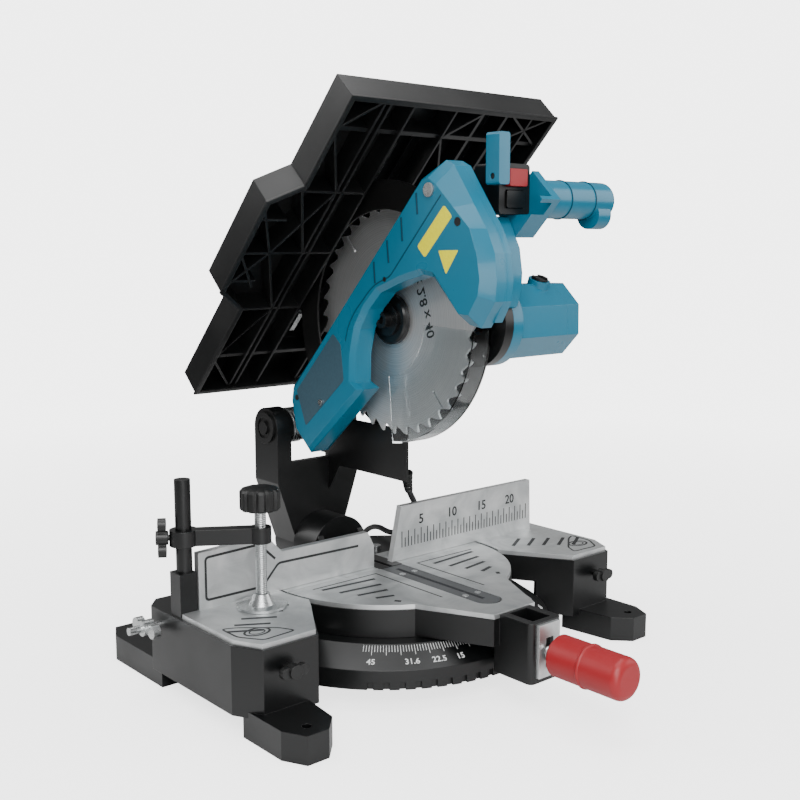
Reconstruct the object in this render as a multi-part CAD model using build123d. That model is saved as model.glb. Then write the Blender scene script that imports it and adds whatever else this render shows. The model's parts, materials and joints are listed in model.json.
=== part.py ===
"""Combination mitre saw with an upper table, as an assembly of separate pieces.

Frame, in millimetres: the origin is the centre of the four bench holes on the bench plane,
straight below the turntable's axis. X runs to the operator's right, -Y towards the operator,
+Z up. The blade plane is x = 0 and the fence's front face is y = 0. The saw stands at rest with
its head raised: the head is drawn in its lowered position and then turned up about its pivot.
"""
import math
import os

from build123d import *

os.makedirs("parts", exist_ok=True)

# ---------------------------------------------------------------- driving dimensions
TABLE_Z = 95.0  # height of the lower table's working surface
BASE_HALF = 266.0  # half the base's width over the side tables
FOOT_X, FOOT_Y = 234.0, 166.0  # bench holes, from the turntable's axis
FOOT_HEIGHT = 28.0
FOOT_HOLE_R = 4.5
CAST_WALL = 5.0
PLATE_T = 5.0  # bright plates on the side tables and the turntable
RING_TOP_Z = 60.0  # land of the base ring that the turntable turns on
RING_R = 186.0  # base ring's outer wall
RING_LAND_R = 160.0
TURN_R = 144.0  # turntable disc
TURN_GAP = 3.0  # between the turntable and the side tables
RUN_GAP = 0.3  # between faces that slide past each other
SHAFT_GAP = 0.05  # radial clearance of every running fit
ARM_HALF = 22.0  # half the width of the turntable's front arm
ARM_FRONT_Y = -245.0
ARM_BOTTOM_Z = 32.0
KERF_HALF = 2.5
FENCE_T = 8.0
FENCE_HIGH = 157.0
FENCE_LOW = 137.0
RIGHT_FENCE_TOP = 159.0
BLADE_R = 127.5
BLADE_T = 2.8
TEETH = 40
ARBOR_R = 12.6
BEARING_OUT_R, BEARING_IN_R = 16.0, 10.0
PIVOT_Y, PIVOT_Z = 150.0, 241.0  # axis the head swings about
PIVOT_R = 8.0
BLADE_Y, BLADE_Z = -63.0, 216.0  # blade's centre with the head lowered
HEAD_LIFT = 46.0  # degrees from lowered to rest
MOTOR_Y, MOTOR_Z = -135.0, 142.0  # motor's axis with the head lowered
MOTOR_R = 42.0
BEVEL_R = 33.0
BEVEL_PIN_R = 9.0
BEVEL_FACE_Y = 125.6  # joint face between the bevel bracket and the bevel arm
BEVEL_DEPTH = 48.0
TABLE2_T = 35.0  # depth of the upper table's skirt
TABLE2_Z = BLADE_Z + 100.0  # underside of that skirt, head lowered
TABLE2_SKIN = 7.0
COLUMN_R = 8.0
COLUMN_X = 58.0
COLUMN_YS = (60.0, 6.0)
CLAMP_X, CLAMP_Y = -189.0, -29.0
POST_X, POST_Y, POST_TOP = -253.0, 12.0, 229.0
POST_R = 8.0
SPINDLE_R = 6.0
SOCKET_FLOOR_Z, SOCKET_TOP_Z = 62.0, 135.0
ARM_Z = 170.0  # height of the clamp's arm
SIDE_ROD_Y, SIDE_ROD_Z, SIDE_ROD_R = 44.0, 74.0, 4.0
SIDE_ROD_END = -BASE_HALF + 26.0  # bottom of that rod's hole
BEVEL_SEAT_Z = TABLE_Z - 20.0  # flat that the bevel bracket stands on
CORD_R = 3.5


# ---------------------------------------------------------------- helpers
def block(x0, x1, y0, y1, z0, z1):
    """An axis-aligned block between two corners."""
    centre = Pos((x0 + x1) / 2, (y0 + y1) / 2, (z0 + z1) / 2)
    return centre * Box(abs(x1 - x0), abs(y1 - y0), abs(z1 - z0))


def rod_x(x0, x1, y, z, radius):
    """A round bar along X."""
    return Pos((x0 + x1) / 2, y, z) * Rot(0, 90, 0) * Cylinder(radius, x1 - x0)


def rod_y(y0, y1, x, z, radius):
    """A round bar along Y."""
    return Pos(x, (y0 + y1) / 2, z) * Rot(90, 0, 0) * Cylinder(radius, y1 - y0)


def rod_z(z0, z1, x, y, radius):
    """A round bar along Z."""
    return Pos(x, y, (z0 + z1) / 2) * Cylinder(radius, z1 - z0)


def plan(points, z0, z1):
    """A prism from an outline in X, Y."""
    return Pos(0, 0, z0) * extrude(make_face(Polyline(*points, close=True)), z1 - z0)


def side(points, x0, x1):
    """A prism from an outline in Y, Z."""
    outline = make_face(Polyline(*[(0, y, z) for y, z in points], close=True))
    return Pos(x0, 0, 0) * extrude(outline, x1 - x0, dir=(1, 0, 0))


def front(points, y0, y1):
    """A prism from an outline in X, Z."""
    outline = make_face(Polyline(*[(x, 0, z) for x, z in points], close=True))
    return Pos(0, y0, 0) * extrude(outline, y1 - y0, dir=(0, 1, 0))


def mirrored(points):
    """The same outline on the other side of the blade plane."""
    return [(-x, y) for x, y in reversed(points)]


def capsule(a, ra, b, rb, x0, x1):
    """A plate along X round two circles in Y, Z, with their outer tangents as its edges."""
    dy, dz = b[0] - a[0], b[1] - a[1]
    along = math.atan2(dz, dy)
    lean = math.acos((ra - rb) / math.hypot(dy, dz))
    corners = []
    for turn in (along + lean, along - lean):
        unit = (math.cos(turn), math.sin(turn))
        ends = [(c[0] + r * unit[0], c[1] + r * unit[1]) for c, r in ((a, ra), (b, rb))]
        corners += ends if not corners else ends[::-1]
    return side(corners, x0, x1) + rod_x(x0, x1, *a, ra) + rod_x(x0, x1, *b, rb)


def hexagon_x(x0, x1, y, z, across):
    """A hexagon head along X."""
    radius = across / math.sqrt(3)
    points = [(y + radius * math.cos(math.radians(60 * i)),
               z + radius * math.sin(math.radians(60 * i))) for i in range(6)]
    return side(points, x0, x1)


def wing_y(x, y0, y1, z, span, bore=0.0):
    """A wing knob on an axis along Y: a hub with two rounded ears."""
    knob = rod_y(y0, y1, x, z, 7)
    for turn in (-1, 1):
        knob += rod_y(y0 + 2, y1 - 2, x + turn * span * 0.62, z, span * 0.38)
        knob += block(x, x + turn * span * 0.7, y0 + 2, y1 - 2, z - 4, z + 4)
    return knob - rod_y(y0 - 1, y1 + 1, x, z, bore) if bore else knob


PIVOT = Axis((0, PIVOT_Y, PIVOT_Z), (1, 0, 0))


def raised(piece):
    """A piece of the lowered head, turned up to where it rests."""
    return piece.rotate(PIVOT, -HEAD_LIFT)


def lowered(piece):
    """A piece drawn at rest, turned down with the head."""
    return piece.rotate(PIVOT, HEAD_LIFT)


def save(name, piece):
    """Write one node to its own STEP file."""
    export_step(Compound(children=list(piece.solids())), f"parts/{name}.step")


# ---------------------------------------------------------------- base
BLOCK_PLAN = [(133, -30), (150, -60), (187, -122), (250, -122), (BASE_HALF, -92),
              (BASE_HALF, 60), (252, 76), (128, 76)]
BLOCK_INNER = [(138, -27), (155, -59), (191, -117), (248, -117), (261, -90),
               (261, 58), (250, 71), (134, 71)]
FRONT_FOOT = [(196, -98), (258, -98), (258, -160), (246, -184), (222, -184), (204, -165)]
REAR_FOOT = [(222, 184), (246, 184), (258, 160), (258, 56), (206, 56), (206, 160)]
FOOT_CORE = [(214, 150), (222, 160), (246, 160), (250, 150), (250, 90), (214, 90)]


def base_casting():
    """Ring, two hollow side tables, four feet, hub and spokes."""
    profile = [(120, 22), (120, RING_TOP_Z), (RING_LAND_R, RING_TOP_Z), (RING_R, 42), (RING_R, 22)]
    core = [(120 + CAST_WALL, 22), (120 + CAST_WALL, 54), (157, 54), (RING_R - CAST_WALL, 38),
            (RING_R - CAST_WALL, 22)]
    body = Solid()
    ring = None
    for points in (profile, core):
        face = make_face(Polyline(*[(x, 0, z) for x, z in points], close=True))
        turned = revolve(face, Axis.Z)
        ring = turned if ring is None else ring - turned
    body = ring
    for outline, inner in ((BLOCK_PLAN, BLOCK_INNER), (mirrored(BLOCK_PLAN), mirrored(BLOCK_INNER))):
        shell = plan(outline, 22, TABLE_Z - PLATE_T) - plan(inner, 20, TABLE_Z - PLATE_T - 6)
        shell -= rod_z(RING_TOP_Z, TABLE_Z, 0, 0, TURN_R + TURN_GAP)
        shell -= rod_z(0, RING_TOP_Z, 0, 0, RING_R - 2)
        body += shell
    for outline, way in ((FRONT_FOOT, -1), (REAR_FOOT, 1)):
        foot = plan(outline, 0, FOOT_HEIGHT)
        core_points = [(x, way * y) for x, y in FOOT_CORE]
        foot -= plan(core_points if way > 0 else core_points[::-1], -1, FOOT_HEIGHT - 6)
        foot -= rod_z(-1, FOOT_HEIGHT + 1, FOOT_X, way * FOOT_Y, FOOT_HOLE_R)
        body += foot + foot.mirror(Plane.YZ)
    for k in range(4):
        spoke = block(18, 124, -6, 6, 30, RING_TOP_Z - 4).rotate(Axis.Z, 45 + 90 * k)
        body += spoke
    body += rod_z(22, RING_TOP_Z, 0, 0, 26)
    body -= rod_z(0, 100, 0, 0, PIVOT_R + SHAFT_GAP)
    for k in range(-9, 10):
        notch = block(-3, 3, -RING_R - 4, -RING_R + 3, 20, 30).rotate(Axis.Z, 5 * k)
        body -= notch
    socket = block(POST_X - 11, POST_X + 8, POST_Y - 10, POST_Y + 9.8, SOCKET_FLOOR_Z - 4, SOCKET_TOP_Z)
    body += socket
    body -= rod_z(SOCKET_FLOOR_Z, 200, POST_X, POST_Y, POST_R + SHAFT_GAP)
    body -= rod_x(-BASE_HALF - 1, SIDE_ROD_END, SIDE_ROD_Y, SIDE_ROD_Z, SIDE_ROD_R)
    return body


def side_plate(points):
    """Bright chamfered plate on a side table."""
    plate = plan(points, TABLE_Z - PLATE_T, TABLE_Z)
    plate -= rod_z(0, 200, 0, 0, TURN_R + TURN_GAP)
    return plate - block(POST_X - 11, POST_X + 8, POST_Y - 10, POST_Y + 9.8, 0, 200)


PLATE_PLAN = [(133, -30), (150, -60), (188, -119), (249, -119), (263, -91), (263, 22), (133, 22)]


def side_plates():
    """The two side tables' plates."""
    return Compound(children=[side_plate(PLATE_PLAN), side_plate(mirrored(PLATE_PLAN))])


def left_fence():
    """Tall outer part, low inner part with a chamfered end, and a foot flange."""
    face = front([(-244, TABLE_Z), (-17, TABLE_Z), (-17, 120), (-26, FENCE_LOW), (-143, FENCE_LOW),
                  (-162, FENCE_HIGH), (-244, FENCE_HIGH - 3)], 0, FENCE_T)
    return face + block(-238, -30, FENCE_T, 22, TABLE_Z, TABLE_Z + 6)


def right_fence():
    """Plain tall fence with a slanted inner end."""
    face = front([(10, TABLE_Z), (244, TABLE_Z), (242, RIGHT_FENCE_TOP), (24, RIGHT_FENCE_TOP)],
                 0, FENCE_T)
    return face + block(20, 244, FENCE_T, 22, TABLE_Z, TABLE_Z + 6)


def fence_bolts():
    """Four hexagon screws that hold the fences down, standing on their flanges."""
    screws = [rod_z(TABLE_Z + 6, TABLE_Z + 12, x, 15, 6) for x in (-225, -165, 165, 225)]
    return Compound(children=screws)


def wing_bolt(x):
    """Wing bolt on the front of a side table, for the extension rod's hole."""
    knob = wing_y(0, -140, -130, 0, 15) + rod_y(-131, -122, 0, 0, 4)
    return Pos(x, 0, 68) * knob


# ---------------------------------------------------------------- turntable
NECK = [(-72, -119), (-36, -190), (-30, -202), (30, -202), (36, -190), (72, -119)]


def turntable_casting():
    """Disc, neck and front arm, hollow below, with a pivot hub, rear deck and scale pointer."""
    low, high = RING_TOP_Z + RUN_GAP, TABLE_Z - RUN_GAP - PLATE_T
    body = rod_z(low, high, 0, 0, TURN_R) + plan(NECK, low + 1, high)
    body -= rod_z(low - 1, high - 6, 0, 0, 116)
    body += rod_z(low, high, 0, 0, 24)
    arm = block(-ARM_HALF, ARM_HALF, ARM_FRONT_Y, -195, ARM_BOTTOM_Z, high)
    arm += block(-ARM_HALF, ARM_HALF, ARM_FRONT_Y, -202.4, high - 1, high + 4)
    arm -= block(-13, 13, -238, -206, 60, TABLE_Z + 5)
    arm = fillet(arm.edges().filter_by(Axis.Z).group_by(Axis.Y)[0], 6)
    body += arm
    body -= block(-62, 62, BEVEL_FACE_Y - 0.1, 160, 40, TABLE_Z + 5)
    body -= block(-45, 45, 84, 130, BEVEL_SEAT_Z, TABLE_Z + 5)
    body -= block(-16, 16, -176, -10, high - 4, high + 1)
    body -= rod_z(40, TABLE_Z + 5, 0, 0, PIVOT_R)
    deck = block(-16.7, 16.7, -9.7, 39.7, high - 1, TABLE_Z - RUN_GAP)
    body += deck - block(-KERF_HALF, KERF_HALF, -12, 34, high, 200)
    body += block(36, 50, -182, -170, 61.5, 64.5) + block(30, 38, -182, -170, 61.5, 75)
    return body


def turntable_plate():
    """Bright working surface, with a slot for the kerf insert and a groove at the fence."""
    high = TABLE_Z - RUN_GAP
    plate = rod_z(high - PLATE_T, high, 0, 0, TURN_R - 1)
    plate -= block(-200, 200, 40, 200, 0, 200)
    plate += plan([(x * 0.985, y) for x, y in NECK], high - PLATE_T, high)
    slot = block(-16, 16, -162, -10, 0, 200) + rod_z(0, 200, 0, -162, 16)
    plate -= slot + block(-17, 17, -10, 41, 0, 200)
    plate -= block(-200, 200, -9, -8, high - 1.5, high + 1)
    return plate


def kerf_insert():
    """Replaceable plastic strip that the blade cuts into."""
    high = TABLE_Z - RUN_GAP
    strip = block(-15.7, 15.7, -162, -10.3, high - PLATE_T - 3.7, high - 0.5)
    strip += rod_z(high - PLATE_T - 3.7, high - 0.5, 0, -160, 15.7)
    strip -= block(-KERF_HALF, KERF_HALF, -158, -20, 0, 200)
    return strip


def turntable_screws():
    """Flush screws of the insert, and the two hexagon bolts of the bevel bracket."""
    screws = [rod_z(TABLE_Z - 0.8, TABLE_Z - 0.3, x, y, 3.5) for x in (-9, 9) for y in (-40, -140)]
    screws += [rod_z(TABLE_Z - PLATE_T - RUN_GAP, TABLE_Z - 0.4, x, 70, 6) for x in (-44, 44)]
    return Compound(children=screws)


def arm_front_plate():
    """Plate on the arm's front, with the vertical slot of the lock rod."""
    plate = block(-15, 15, ARM_FRONT_Y - 4, ARM_FRONT_Y, ARM_BOTTOM_Z + 6, 92)
    return plate - block(-5.3, 5.3, -260, -240, 48, 78)


def pivot_bolt():
    """Bolt that the turntable turns on, with its head under the base hub."""
    return rod_z(16, TABLE_Z - PLATE_T - RUN_GAP - 4, 0, 0, PIVOT_R) + rod_z(10, 21.7, 0, 0, 16)


def handle_rod():
    """Threaded lock rod of the mitre handle."""
    y = ARM_FRONT_Y
    return rod_y(y - 20, y - 4.3, 0, 63, 5) + rod_y(y - 12, y - 6, 0, 63, 9)


def red_grip():
    """Rounded grip on the lock rod, bored for it."""
    y = ARM_FRONT_Y - 13
    grip = rod_y(-346, y, 0, 63, 21)
    grip = fillet(grip.edges().group_by(Axis.Y)[0], 8)
    grip = chamfer(grip.edges().group_by(Axis.Y)[-1], 5)
    grip += Pos(0, y - 42, 63) * Torus(20, 2.2).rotate(Axis.X, 90)
    return grip - rod_y(y - 7.2, y + 1, 0, 63, 5)


# ---------------------------------------------------------------- bevel bracket and arm
def bevel_bracket():
    """Half-round bracket on the turntable's rear that holds the bevel pin."""
    body = rod_y(84, BEVEL_FACE_Y, 0, TABLE_Z, 40) - block(-60, 60, 80, 130, 0, BEVEL_SEAT_Z)
    body += block(-44.8, 44.8, 84, BEVEL_FACE_Y, BEVEL_SEAT_Z, TABLE_Z - PLATE_T - 1)
    for x in (-30, 30):
        body += side([(62, TABLE_Z - PLATE_T), (84, TABLE_Z - PLATE_T), (84, TABLE_Z + 21)], x - 4, x + 4)
    return body - rod_y(80, 130, 0, TABLE_Z, BEVEL_PIN_R)


def bevel_pin():
    """Pin between bracket and arm, with a nut behind."""
    return rod_y(84, 182, 0, TABLE_Z, BEVEL_PIN_R) + rod_y(BEVEL_FACE_Y + BEVEL_DEPTH + 1, 186, 0, TABLE_Z, 15)


def bevel_arm():
    """Cast fork that stands on the bevel pin and carries the head's shaft."""
    y0, y1 = BEVEL_FACE_Y + 0.4, BEVEL_FACE_Y + BEVEL_DEPTH + 0.4
    arm = rod_y(y0, y1, 0, TABLE_Z, BEVEL_R)
    arm += front([(-30, TABLE_Z - 5), (30, TABLE_Z - 5), (60, 176), (60, 200), (-60, 200), (-60, 176)], y0, y1)
    arm -= front([(-20, TABLE_Z + 39), (20, TABLE_Z + 39), (46, 184), (46, 201), (-46, 201), (-46, 184)], y0 + 9, y1 + 1)
    for way in (-1, 1):
        x0, x1 = sorted((way * 40, way * 60))
        arm += block(x0, x1, y0, y1, 196, PIVOT_Z) + rod_x(x0, x1, PIVOT_Y, PIVOT_Z, BEVEL_DEPTH / 2)
    arm -= rod_y(y0 - 1, y1 + 1, 0, TABLE_Z, BEVEL_PIN_R + SHAFT_GAP)
    return arm - rod_x(-70, 70, PIVOT_Y, PIVOT_Z, PIVOT_R)


def head_shaft():
    """Shaft through the fork's ears, with a raised ring cap on each end."""
    shaft = rod_x(-64.5, 64.5, PIVOT_Y, PIVOT_Z, PIVOT_R)
    for way in (-1, 1):
        x0, x1 = sorted((way * 60, way * 63))
        shaft += rod_x(x0, x1, PIVOT_Y, PIVOT_Z, 19) - rod_x(x0 - 1, x1 + 1, PIVOT_Y, PIVOT_Z, 13)
        shaft += rod_x(*sorted((way * 60, way * 61)), PIVOT_Y, PIVOT_Z, 14)
    return shaft


def return_spring():
    """Closely wound torsion spring round the head's pivot tube, as one coil per turn."""
    coils = [Pos(-36 + 4 * k, PIVOT_Y, PIVOT_Z) * Rot(0, 90, 0) * Torus(22.5, 1.5) for k in range(7)]
    return Compound(children=coils)


def bevel_lever():
    """Clamp lever on the end of the bevel pin."""
    hub = rod_y(186.4, 200, 0, TABLE_Z, 12)
    return hub + block(-4, 4, 188, 197, TABLE_Z, 168) + rod_y(186.4, 199, 0, 168, 9)


def rear_guard():
    """Flat guard behind the blade, with the clip that the mains lead comes out of."""
    plate = side([(-20, 192), (-20, 252), (98, 252), (112, 214), (126, 206), (126, 160), (104, 192)],
                 14.6, 16.6)
    return plate + block(16.6, 17.4, -20, -17, 192, 252) + block(16.6, 17.4, -20, -8, 203, 214)


# ---------------------------------------------------------------- head, drawn lowered
SWITCH_X, SWITCH_Y, SWITCH_Z = 30.0, -165.0, 514.0
COVER = [(124, 180), (126, 216), (106, 246), (92, 256), (-240, 256), (-258, 250), (-262, 238),
         (-254, 192), (-249, 162), (-240, 138), (-224, 118), (-208, 105), (-176, 100), (-167, 113),
         (-172, 174), (-163, 186), (-136, 203), (-102, 220), (-75, 222), (-48, 217), (-23, 203),
         (0, 182), (-6, 167)]
NOSE_Y = -196.0
HUB = (BLADE_Y, BLADE_Z)
MOTOR = (MOTOR_Y, MOTOR_Z)


def switch_space():
    """Room at rest for the switch box and its flap, in the pieces behind them."""
    x, y, z = SWITCH_X, SWITCH_Y, SWITCH_Z
    box = block(x - 22.2, x + 22.2, y - 30, y + 34.2, z - 26.2, z + 80)
    return box + block(x - 42, x - 20, y - 30, y + 6, z - 4, z + 80)


def blade_cover():
    """Left cover over the blade, with a nose that wraps in front of it."""
    cover = side(COVER, -44, 34)
    cover = chamfer(cover.edges().group_by(Axis.X)[0], 7)
    cover -= block(-14, 40, NOSE_Y, 200, 50, 300)
    cover -= rod_x(-14, 40, *HUB, 140) + rod_x(-24, -13, *HUB, 13)
    pocket = side([(116, 188), (118, 214), (100, 242), (90, 250), (-190, 250), (-190, 186),
                   (-166, 192), (-140, 208), (-104, 226), (-74, 229), (-44, 223), (-18, 208),
                   (4, 188)], -40, -13)
    cover -= pocket
    hole = rod_x(-50, -20, -236, 194, 4) + rod_x(-50, -20, 92, 243, 3)
    return cover - hole - lowered(switch_space())


def cover_screws():
    """Cover screws: a large slotted one at the top corner and small ones in the strip."""
    screws = [rod_x(-46, -44, y, z, r) for y, z, r in ((-232, 235, 7), (60, 204, 3.5))]
    return Compound(children=screws)


def head_casting():
    """Arm from the pivot tube to the arbor housing and the motor mount."""
    body = capsule((PIVOT_Y, PIVOT_Z), 24, HUB, 34, 20, 32)
    body += capsule(HUB, 34, MOTOR, 46, 20, 32)
    body += rod_x(-39.7, 39.7, PIVOT_Y, PIVOT_Z, 20)
    body += rod_x(14, 32, *HUB, 24)
    for y in COLUMN_YS:
        body += block(30, COLUMN_X, y - 12, y + 12, 196, 250) + rod_z(196, 250, COLUMN_X, y, 13)
        body -= rod_z(100, 300, COLUMN_X, y, COLUMN_R + SHAFT_GAP)
    body += block(20, 32, NOSE_Y + 0.2, -150, 150, 200)
    body -= rod_x(12, 34, *HUB, BEARING_OUT_R)
    body -= rod_x(18, 34, *MOTOR, 15)
    body -= lowered(switch_space())
    return body - rod_x(-60, 60, PIVOT_Y, PIVOT_Z, PIVOT_R + SHAFT_GAP)


def inner_guard():
    """Black wall on the right of the blade, round its upper half."""
    wall = rod_x(17.8, 19.8, *HUB, 138)
    wall -= block(10, 30, -300, 100, 290, 400) + block(10, 30, 0, 100, 40, 150)
    wall -= block(10, 30, -300, 100, 40, 162)
    return wall - rod_x(10, 30, *HUB, 24.5)


def belt_cover():
    """Casing over the belt between the motor and the arbor."""
    body = capsule(HUB, 34, MOTOR, 46, 32, 46.5)
    body -= capsule(HUB, 31, MOTOR, 43, 30, 43.9)
    return body - rod_x(40, 50, *MOTOR, 14)


def octagon(radius, x0, x1):
    """An eight-sided prism on the motor's axis."""
    points = [(MOTOR_Y + radius * math.cos(math.radians(22.5 + 45 * i)),
               MOTOR_Z + radius * math.sin(math.radians(22.5 + 45 * i))) for i in range(8)]
    return side(points, x0, x1)


BRUSH_TURN = math.radians(155)


def brush_place(x, out):
    """A point on the brush axis, at a distance from the motor's axis."""
    return (x, MOTOR_Y + out * math.cos(BRUSH_TURN), MOTOR_Z + out * math.sin(BRUSH_TURN))


def brush_rod(x, near, far, radius):
    """A round bar along the brush axis, outwards from the motor."""
    middle = brush_place(x, (near + far) / 2)
    return Pos(*middle) * Rot(math.degrees(BRUSH_TURN) - 90, 0, 0) * Cylinder(radius, abs(far - near))


def motor_housing():
    """Eight-sided casing with the brush boss."""
    body = octagon(MOTOR_R, 46.5, 124) + brush_rod(104, 20, 46, 12)
    body -= rod_x(50, 130, *MOTOR, 36) + brush_rod(104, 10, 47, 9)
    return body - rod_x(40, 60, *MOTOR, 13)


def motor_end_cap():
    """End cap with a bearing seat."""
    cap = chamfer(octagon(MOTOR_R, 124, 150).edges().group_by(Axis.X)[-1], 8)
    cap -= rod_x(120, 142, *MOTOR, 35)
    ring = rod_x(127, 143, *MOTOR, 16) - rod_x(120, 142, *MOTOR, 13)
    return cap + ring


def stator():
    """Laminated field ring with a round bore."""
    return rod_x(60, 92, *MOTOR, 36) - rod_x(58, 94, *MOTOR, 24)


def rotor():
    """Armature, commutator, shaft and the small belt pulley in one."""
    body = rod_x(34.4, 139, *MOTOR, 5) + rod_x(61, 91, *MOTOR, 23) + rod_x(96, 114, *MOTOR, 11)
    return body + rod_x(34.4, 43, *MOTOR, 12)


def ball_bearings():
    """Two bearings of the rotor and two side by side in the arbor housing."""
    rings = [rod_x(x, x + 8, *MOTOR, 13) - rod_x(x - 1, x + 9, *MOTOR, 5 + SHAFT_GAP)
             for x in (46.8, 128)]
    rings += [rod_x(x, x + 8, *HUB, BEARING_OUT_R) - rod_x(x - 1, x + 9, *HUB, BEARING_IN_R + SHAFT_GAP)
              for x in (14.6, 23)]
    return Compound(children=rings)


def brush_caps():
    """Slotted screw cap over the carbon brush."""
    cap = brush_rod(104, 30, 49, 8.8)
    slot = brush_rod(104, 47.5, 52, 20) & block(100, 108, -400, 300, 0, 400)
    return cap - slot.solids()[0] if slot.solids() else cap


def belt():
    """Flat ribbed belt round the two pulleys."""
    loop = capsule(HUB, 29, MOTOR, 15, 34.8, 42.6)
    return loop - capsule(HUB, 26.3, MOTOR, 12.3, 34, 44)


def arbor():
    """Spindle with the large pulley, and a flat for the inner flange."""
    body = rod_x(-9, 14, *HUB, ARBOR_R) + rod_x(14, 43, *HUB, BEARING_IN_R)
    body += rod_x(34.4, 43, *HUB, 26)
    return body - rod_x(-10, 4, *HUB, 4)


def saw_blade():
    """Toothed disc with expansion slots and a round bore."""
    points = []
    for k in range(TEETH):
        pitch = 360 / TEETH
        for turn, radius in ((0.0, BLADE_R), (0.16, BLADE_R - 1.2), (0.42, BLADE_R - 5.5),
                             (0.78, BLADE_R - 9.5), (0.95, BLADE_R - 7.5)):
            angle = math.radians((k + turn) * pitch)
            points.append((BLADE_Y + radius * math.cos(angle), BLADE_Z + radius * math.sin(angle)))
    disc = side(points, -BLADE_T / 2, BLADE_T / 2)
    for k in range(4):
        slot = block(-5, 5, BLADE_R - 28, BLADE_R - 7, -0.8, 0.8) + rod_x(-5, 5, BLADE_R - 28, 0, 2)
        slot = slot.rotate(Axis.X, 4 + 90 * k)
        disc -= Pos(0, BLADE_Y, BLADE_Z) * slot
    return disc - rod_x(-5, 5, *HUB, ARBOR_R + SHAFT_GAP)


def flange(x0, x1):
    """A clamping flange beside the blade."""
    ring = rod_x(x0, x1, *HUB, 27.5) - rod_x(x0 - 1, x1 + 1, *HUB, ARBOR_R + SHAFT_GAP)
    outer = [e for e in ring.edges().group_by(Axis.X)[0 if x0 < 0 else -1] if e.radius > 20]
    return chamfer(outer, 2)


def blade_flanges():
    """Inner and outer clamping flanges."""
    half = BLADE_T / 2
    return Compound(children=[flange(half, 9), flange(-9, -half)])


def arbor_bolt():
    """Socket-head arbor bolt with its washer."""
    bolt = rod_x(-12, -9.2, *HUB, 18) + rod_x(-20, -12, *HUB, 9) + rod_x(-9.2, 3, *HUB, 4)
    return bolt - hexagon_x(-21, -14, *HUB, 9)


def lower_guard():
    """Clear guard: two side walls and a rim, about a ring that turns on the arbor housing."""
    start, sweep = -132.0, 83.0

    def sector(inner, outer, x0, x1):
        """Part of a ring round the arbor."""
        ring = rod_x(x0, x1, *HUB, outer) - rod_x(x0 - 1, x1 + 1, *HUB, inner)
        wedge = [(BLADE_Y, BLADE_Z)]
        for k in range(5):
            angle = math.radians(start + sweep * k / 4)
            wedge.append((BLADE_Y + 200 * math.cos(angle), BLADE_Z + 200 * math.sin(angle)))
        return ring & side(wedge, x0 - 1, x1 + 1)

    body = sector(62, 136, -13, -11) + sector(134, 136, -13, 13) + sector(22, 136, 11, 13)
    ring = rod_x(11, 13.8, *HUB, 28)
    body = body + ring
    return body - rod_x(10, 15, *HUB, 21)


def handle():
    """Round handle across the head's front, with its end boss."""
    bar = rod_x(34.2, 168, -258, 197, 19.5)
    bar = fillet(bar.edges().group_by(Axis.X)[-1], 6)
    bar += block(34.2, 62, -280, -228, 172, 214)
    bar += rod_x(140, 160, -250, 184, 15)
    bar += rod_x(168, 171, -258, 197, 12) + rod_x(171, 176, -258, 197, 5)
    return bar - lowered(switch_space())


def switch_box():
    """Black box of the main switch, with two button wells and the flap's pin on a lug."""
    x, y, z = SWITCH_X, SWITCH_Y, SWITCH_Z
    box = block(x - 22, x + 22, y, y + 34, z - 26, z + 24)
    box = fillet(box.edges().filter_by(Axis.Y), 4)
    for way in (0, 1):
        low = z + 1 if way else z - 20
        box -= block(x - 13, x + 13, y - 1, y + 12, low, low + 18)
    box += rod_x(-8, 9, y - 7, z + 10, 3) + block(7, 9, y - 10, y + 4, z + 6, z + 14)
    return box


def button(low, proud):
    """One rectangular switch button in its well."""
    x, y = SWITCH_X, SWITCH_Y
    cap = block(x - 12.5, x + 12.5, y - proud, y + 6, low + 0.5, low + 17.5)
    return fillet(cap.edges().filter_by(Axis.Y), 2)


def switch_flap():
    """Hinged paddle above the switch, with its two hinge cheeks."""
    x, y, z = 2.0, SWITCH_Y, SWITCH_Z + 8
    flap = block(x - 11, x + 4, y - 16, y + 2, z - 6, z + 44)
    flap = fillet(flap.edges().filter_by(Axis.Y), 3)
    return flap - rod_x(-40, 40, y - 7, z + 2, 3 + SHAFT_GAP)


# ---------------------------------------------------------------- upper table, drawn lowered
TABLE2 = [(-115, 169), (178, 169), (178, -273), (-115, -273), (-115, -160), (-151, -137),
          (-151, -6), (-115, 23)]
TABLE2_CORE = [(-111, 165), (174, 165), (174, -269), (-111, -269), (-111, -158), (-147, -135),
               (-147, -8), (-111, 21)]


def upper_table():
    """Ribbed cast table over the blade, hollow below, with a recess for its insert."""
    top = TABLE2_Z + TABLE2_T
    body = plan(TABLE2, TABLE2_Z, top) - plan(TABLE2_CORE, TABLE2_Z - 1, top - TABLE2_SKIN)
    body -= block(-24, 24, -222, 98, top - 4, top + 1) + block(-17, 17, -214, 90, 300, 400)
    for y in (110, -230):
        body += block(-112, 175, y - 2.5, y + 2.5, TABLE2_Z + 8, top - 1)
    for x in (74, 110):
        body += block(x - 2, x + 2, -270, 166, TABLE2_Z + 8, top - 1)
    for y in COLUMN_YS:
        body += rod_z(TABLE2_Z + 8, top - 1, COLUMN_X, y, 13)
        body -= rod_z(0, top - 5, COLUMN_X, y, COLUMN_R)
    return body


def table_insert():
    """Bright insert with the slot that the blade comes up through."""
    top = TABLE2_Z + TABLE2_T
    plate = block(-23.7, 23.7, -221.7, 97.7, top - 4, top)
    return plate - block(-4, 4, -200, 92, 0, 500)


def guide_columns():
    """Two steel columns that guide the upper table's height."""
    top = TABLE2_Z + TABLE2_T - 5
    return Compound(children=[rod_z(192, top, COLUMN_X, y, COLUMN_R) for y in COLUMN_YS])


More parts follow.
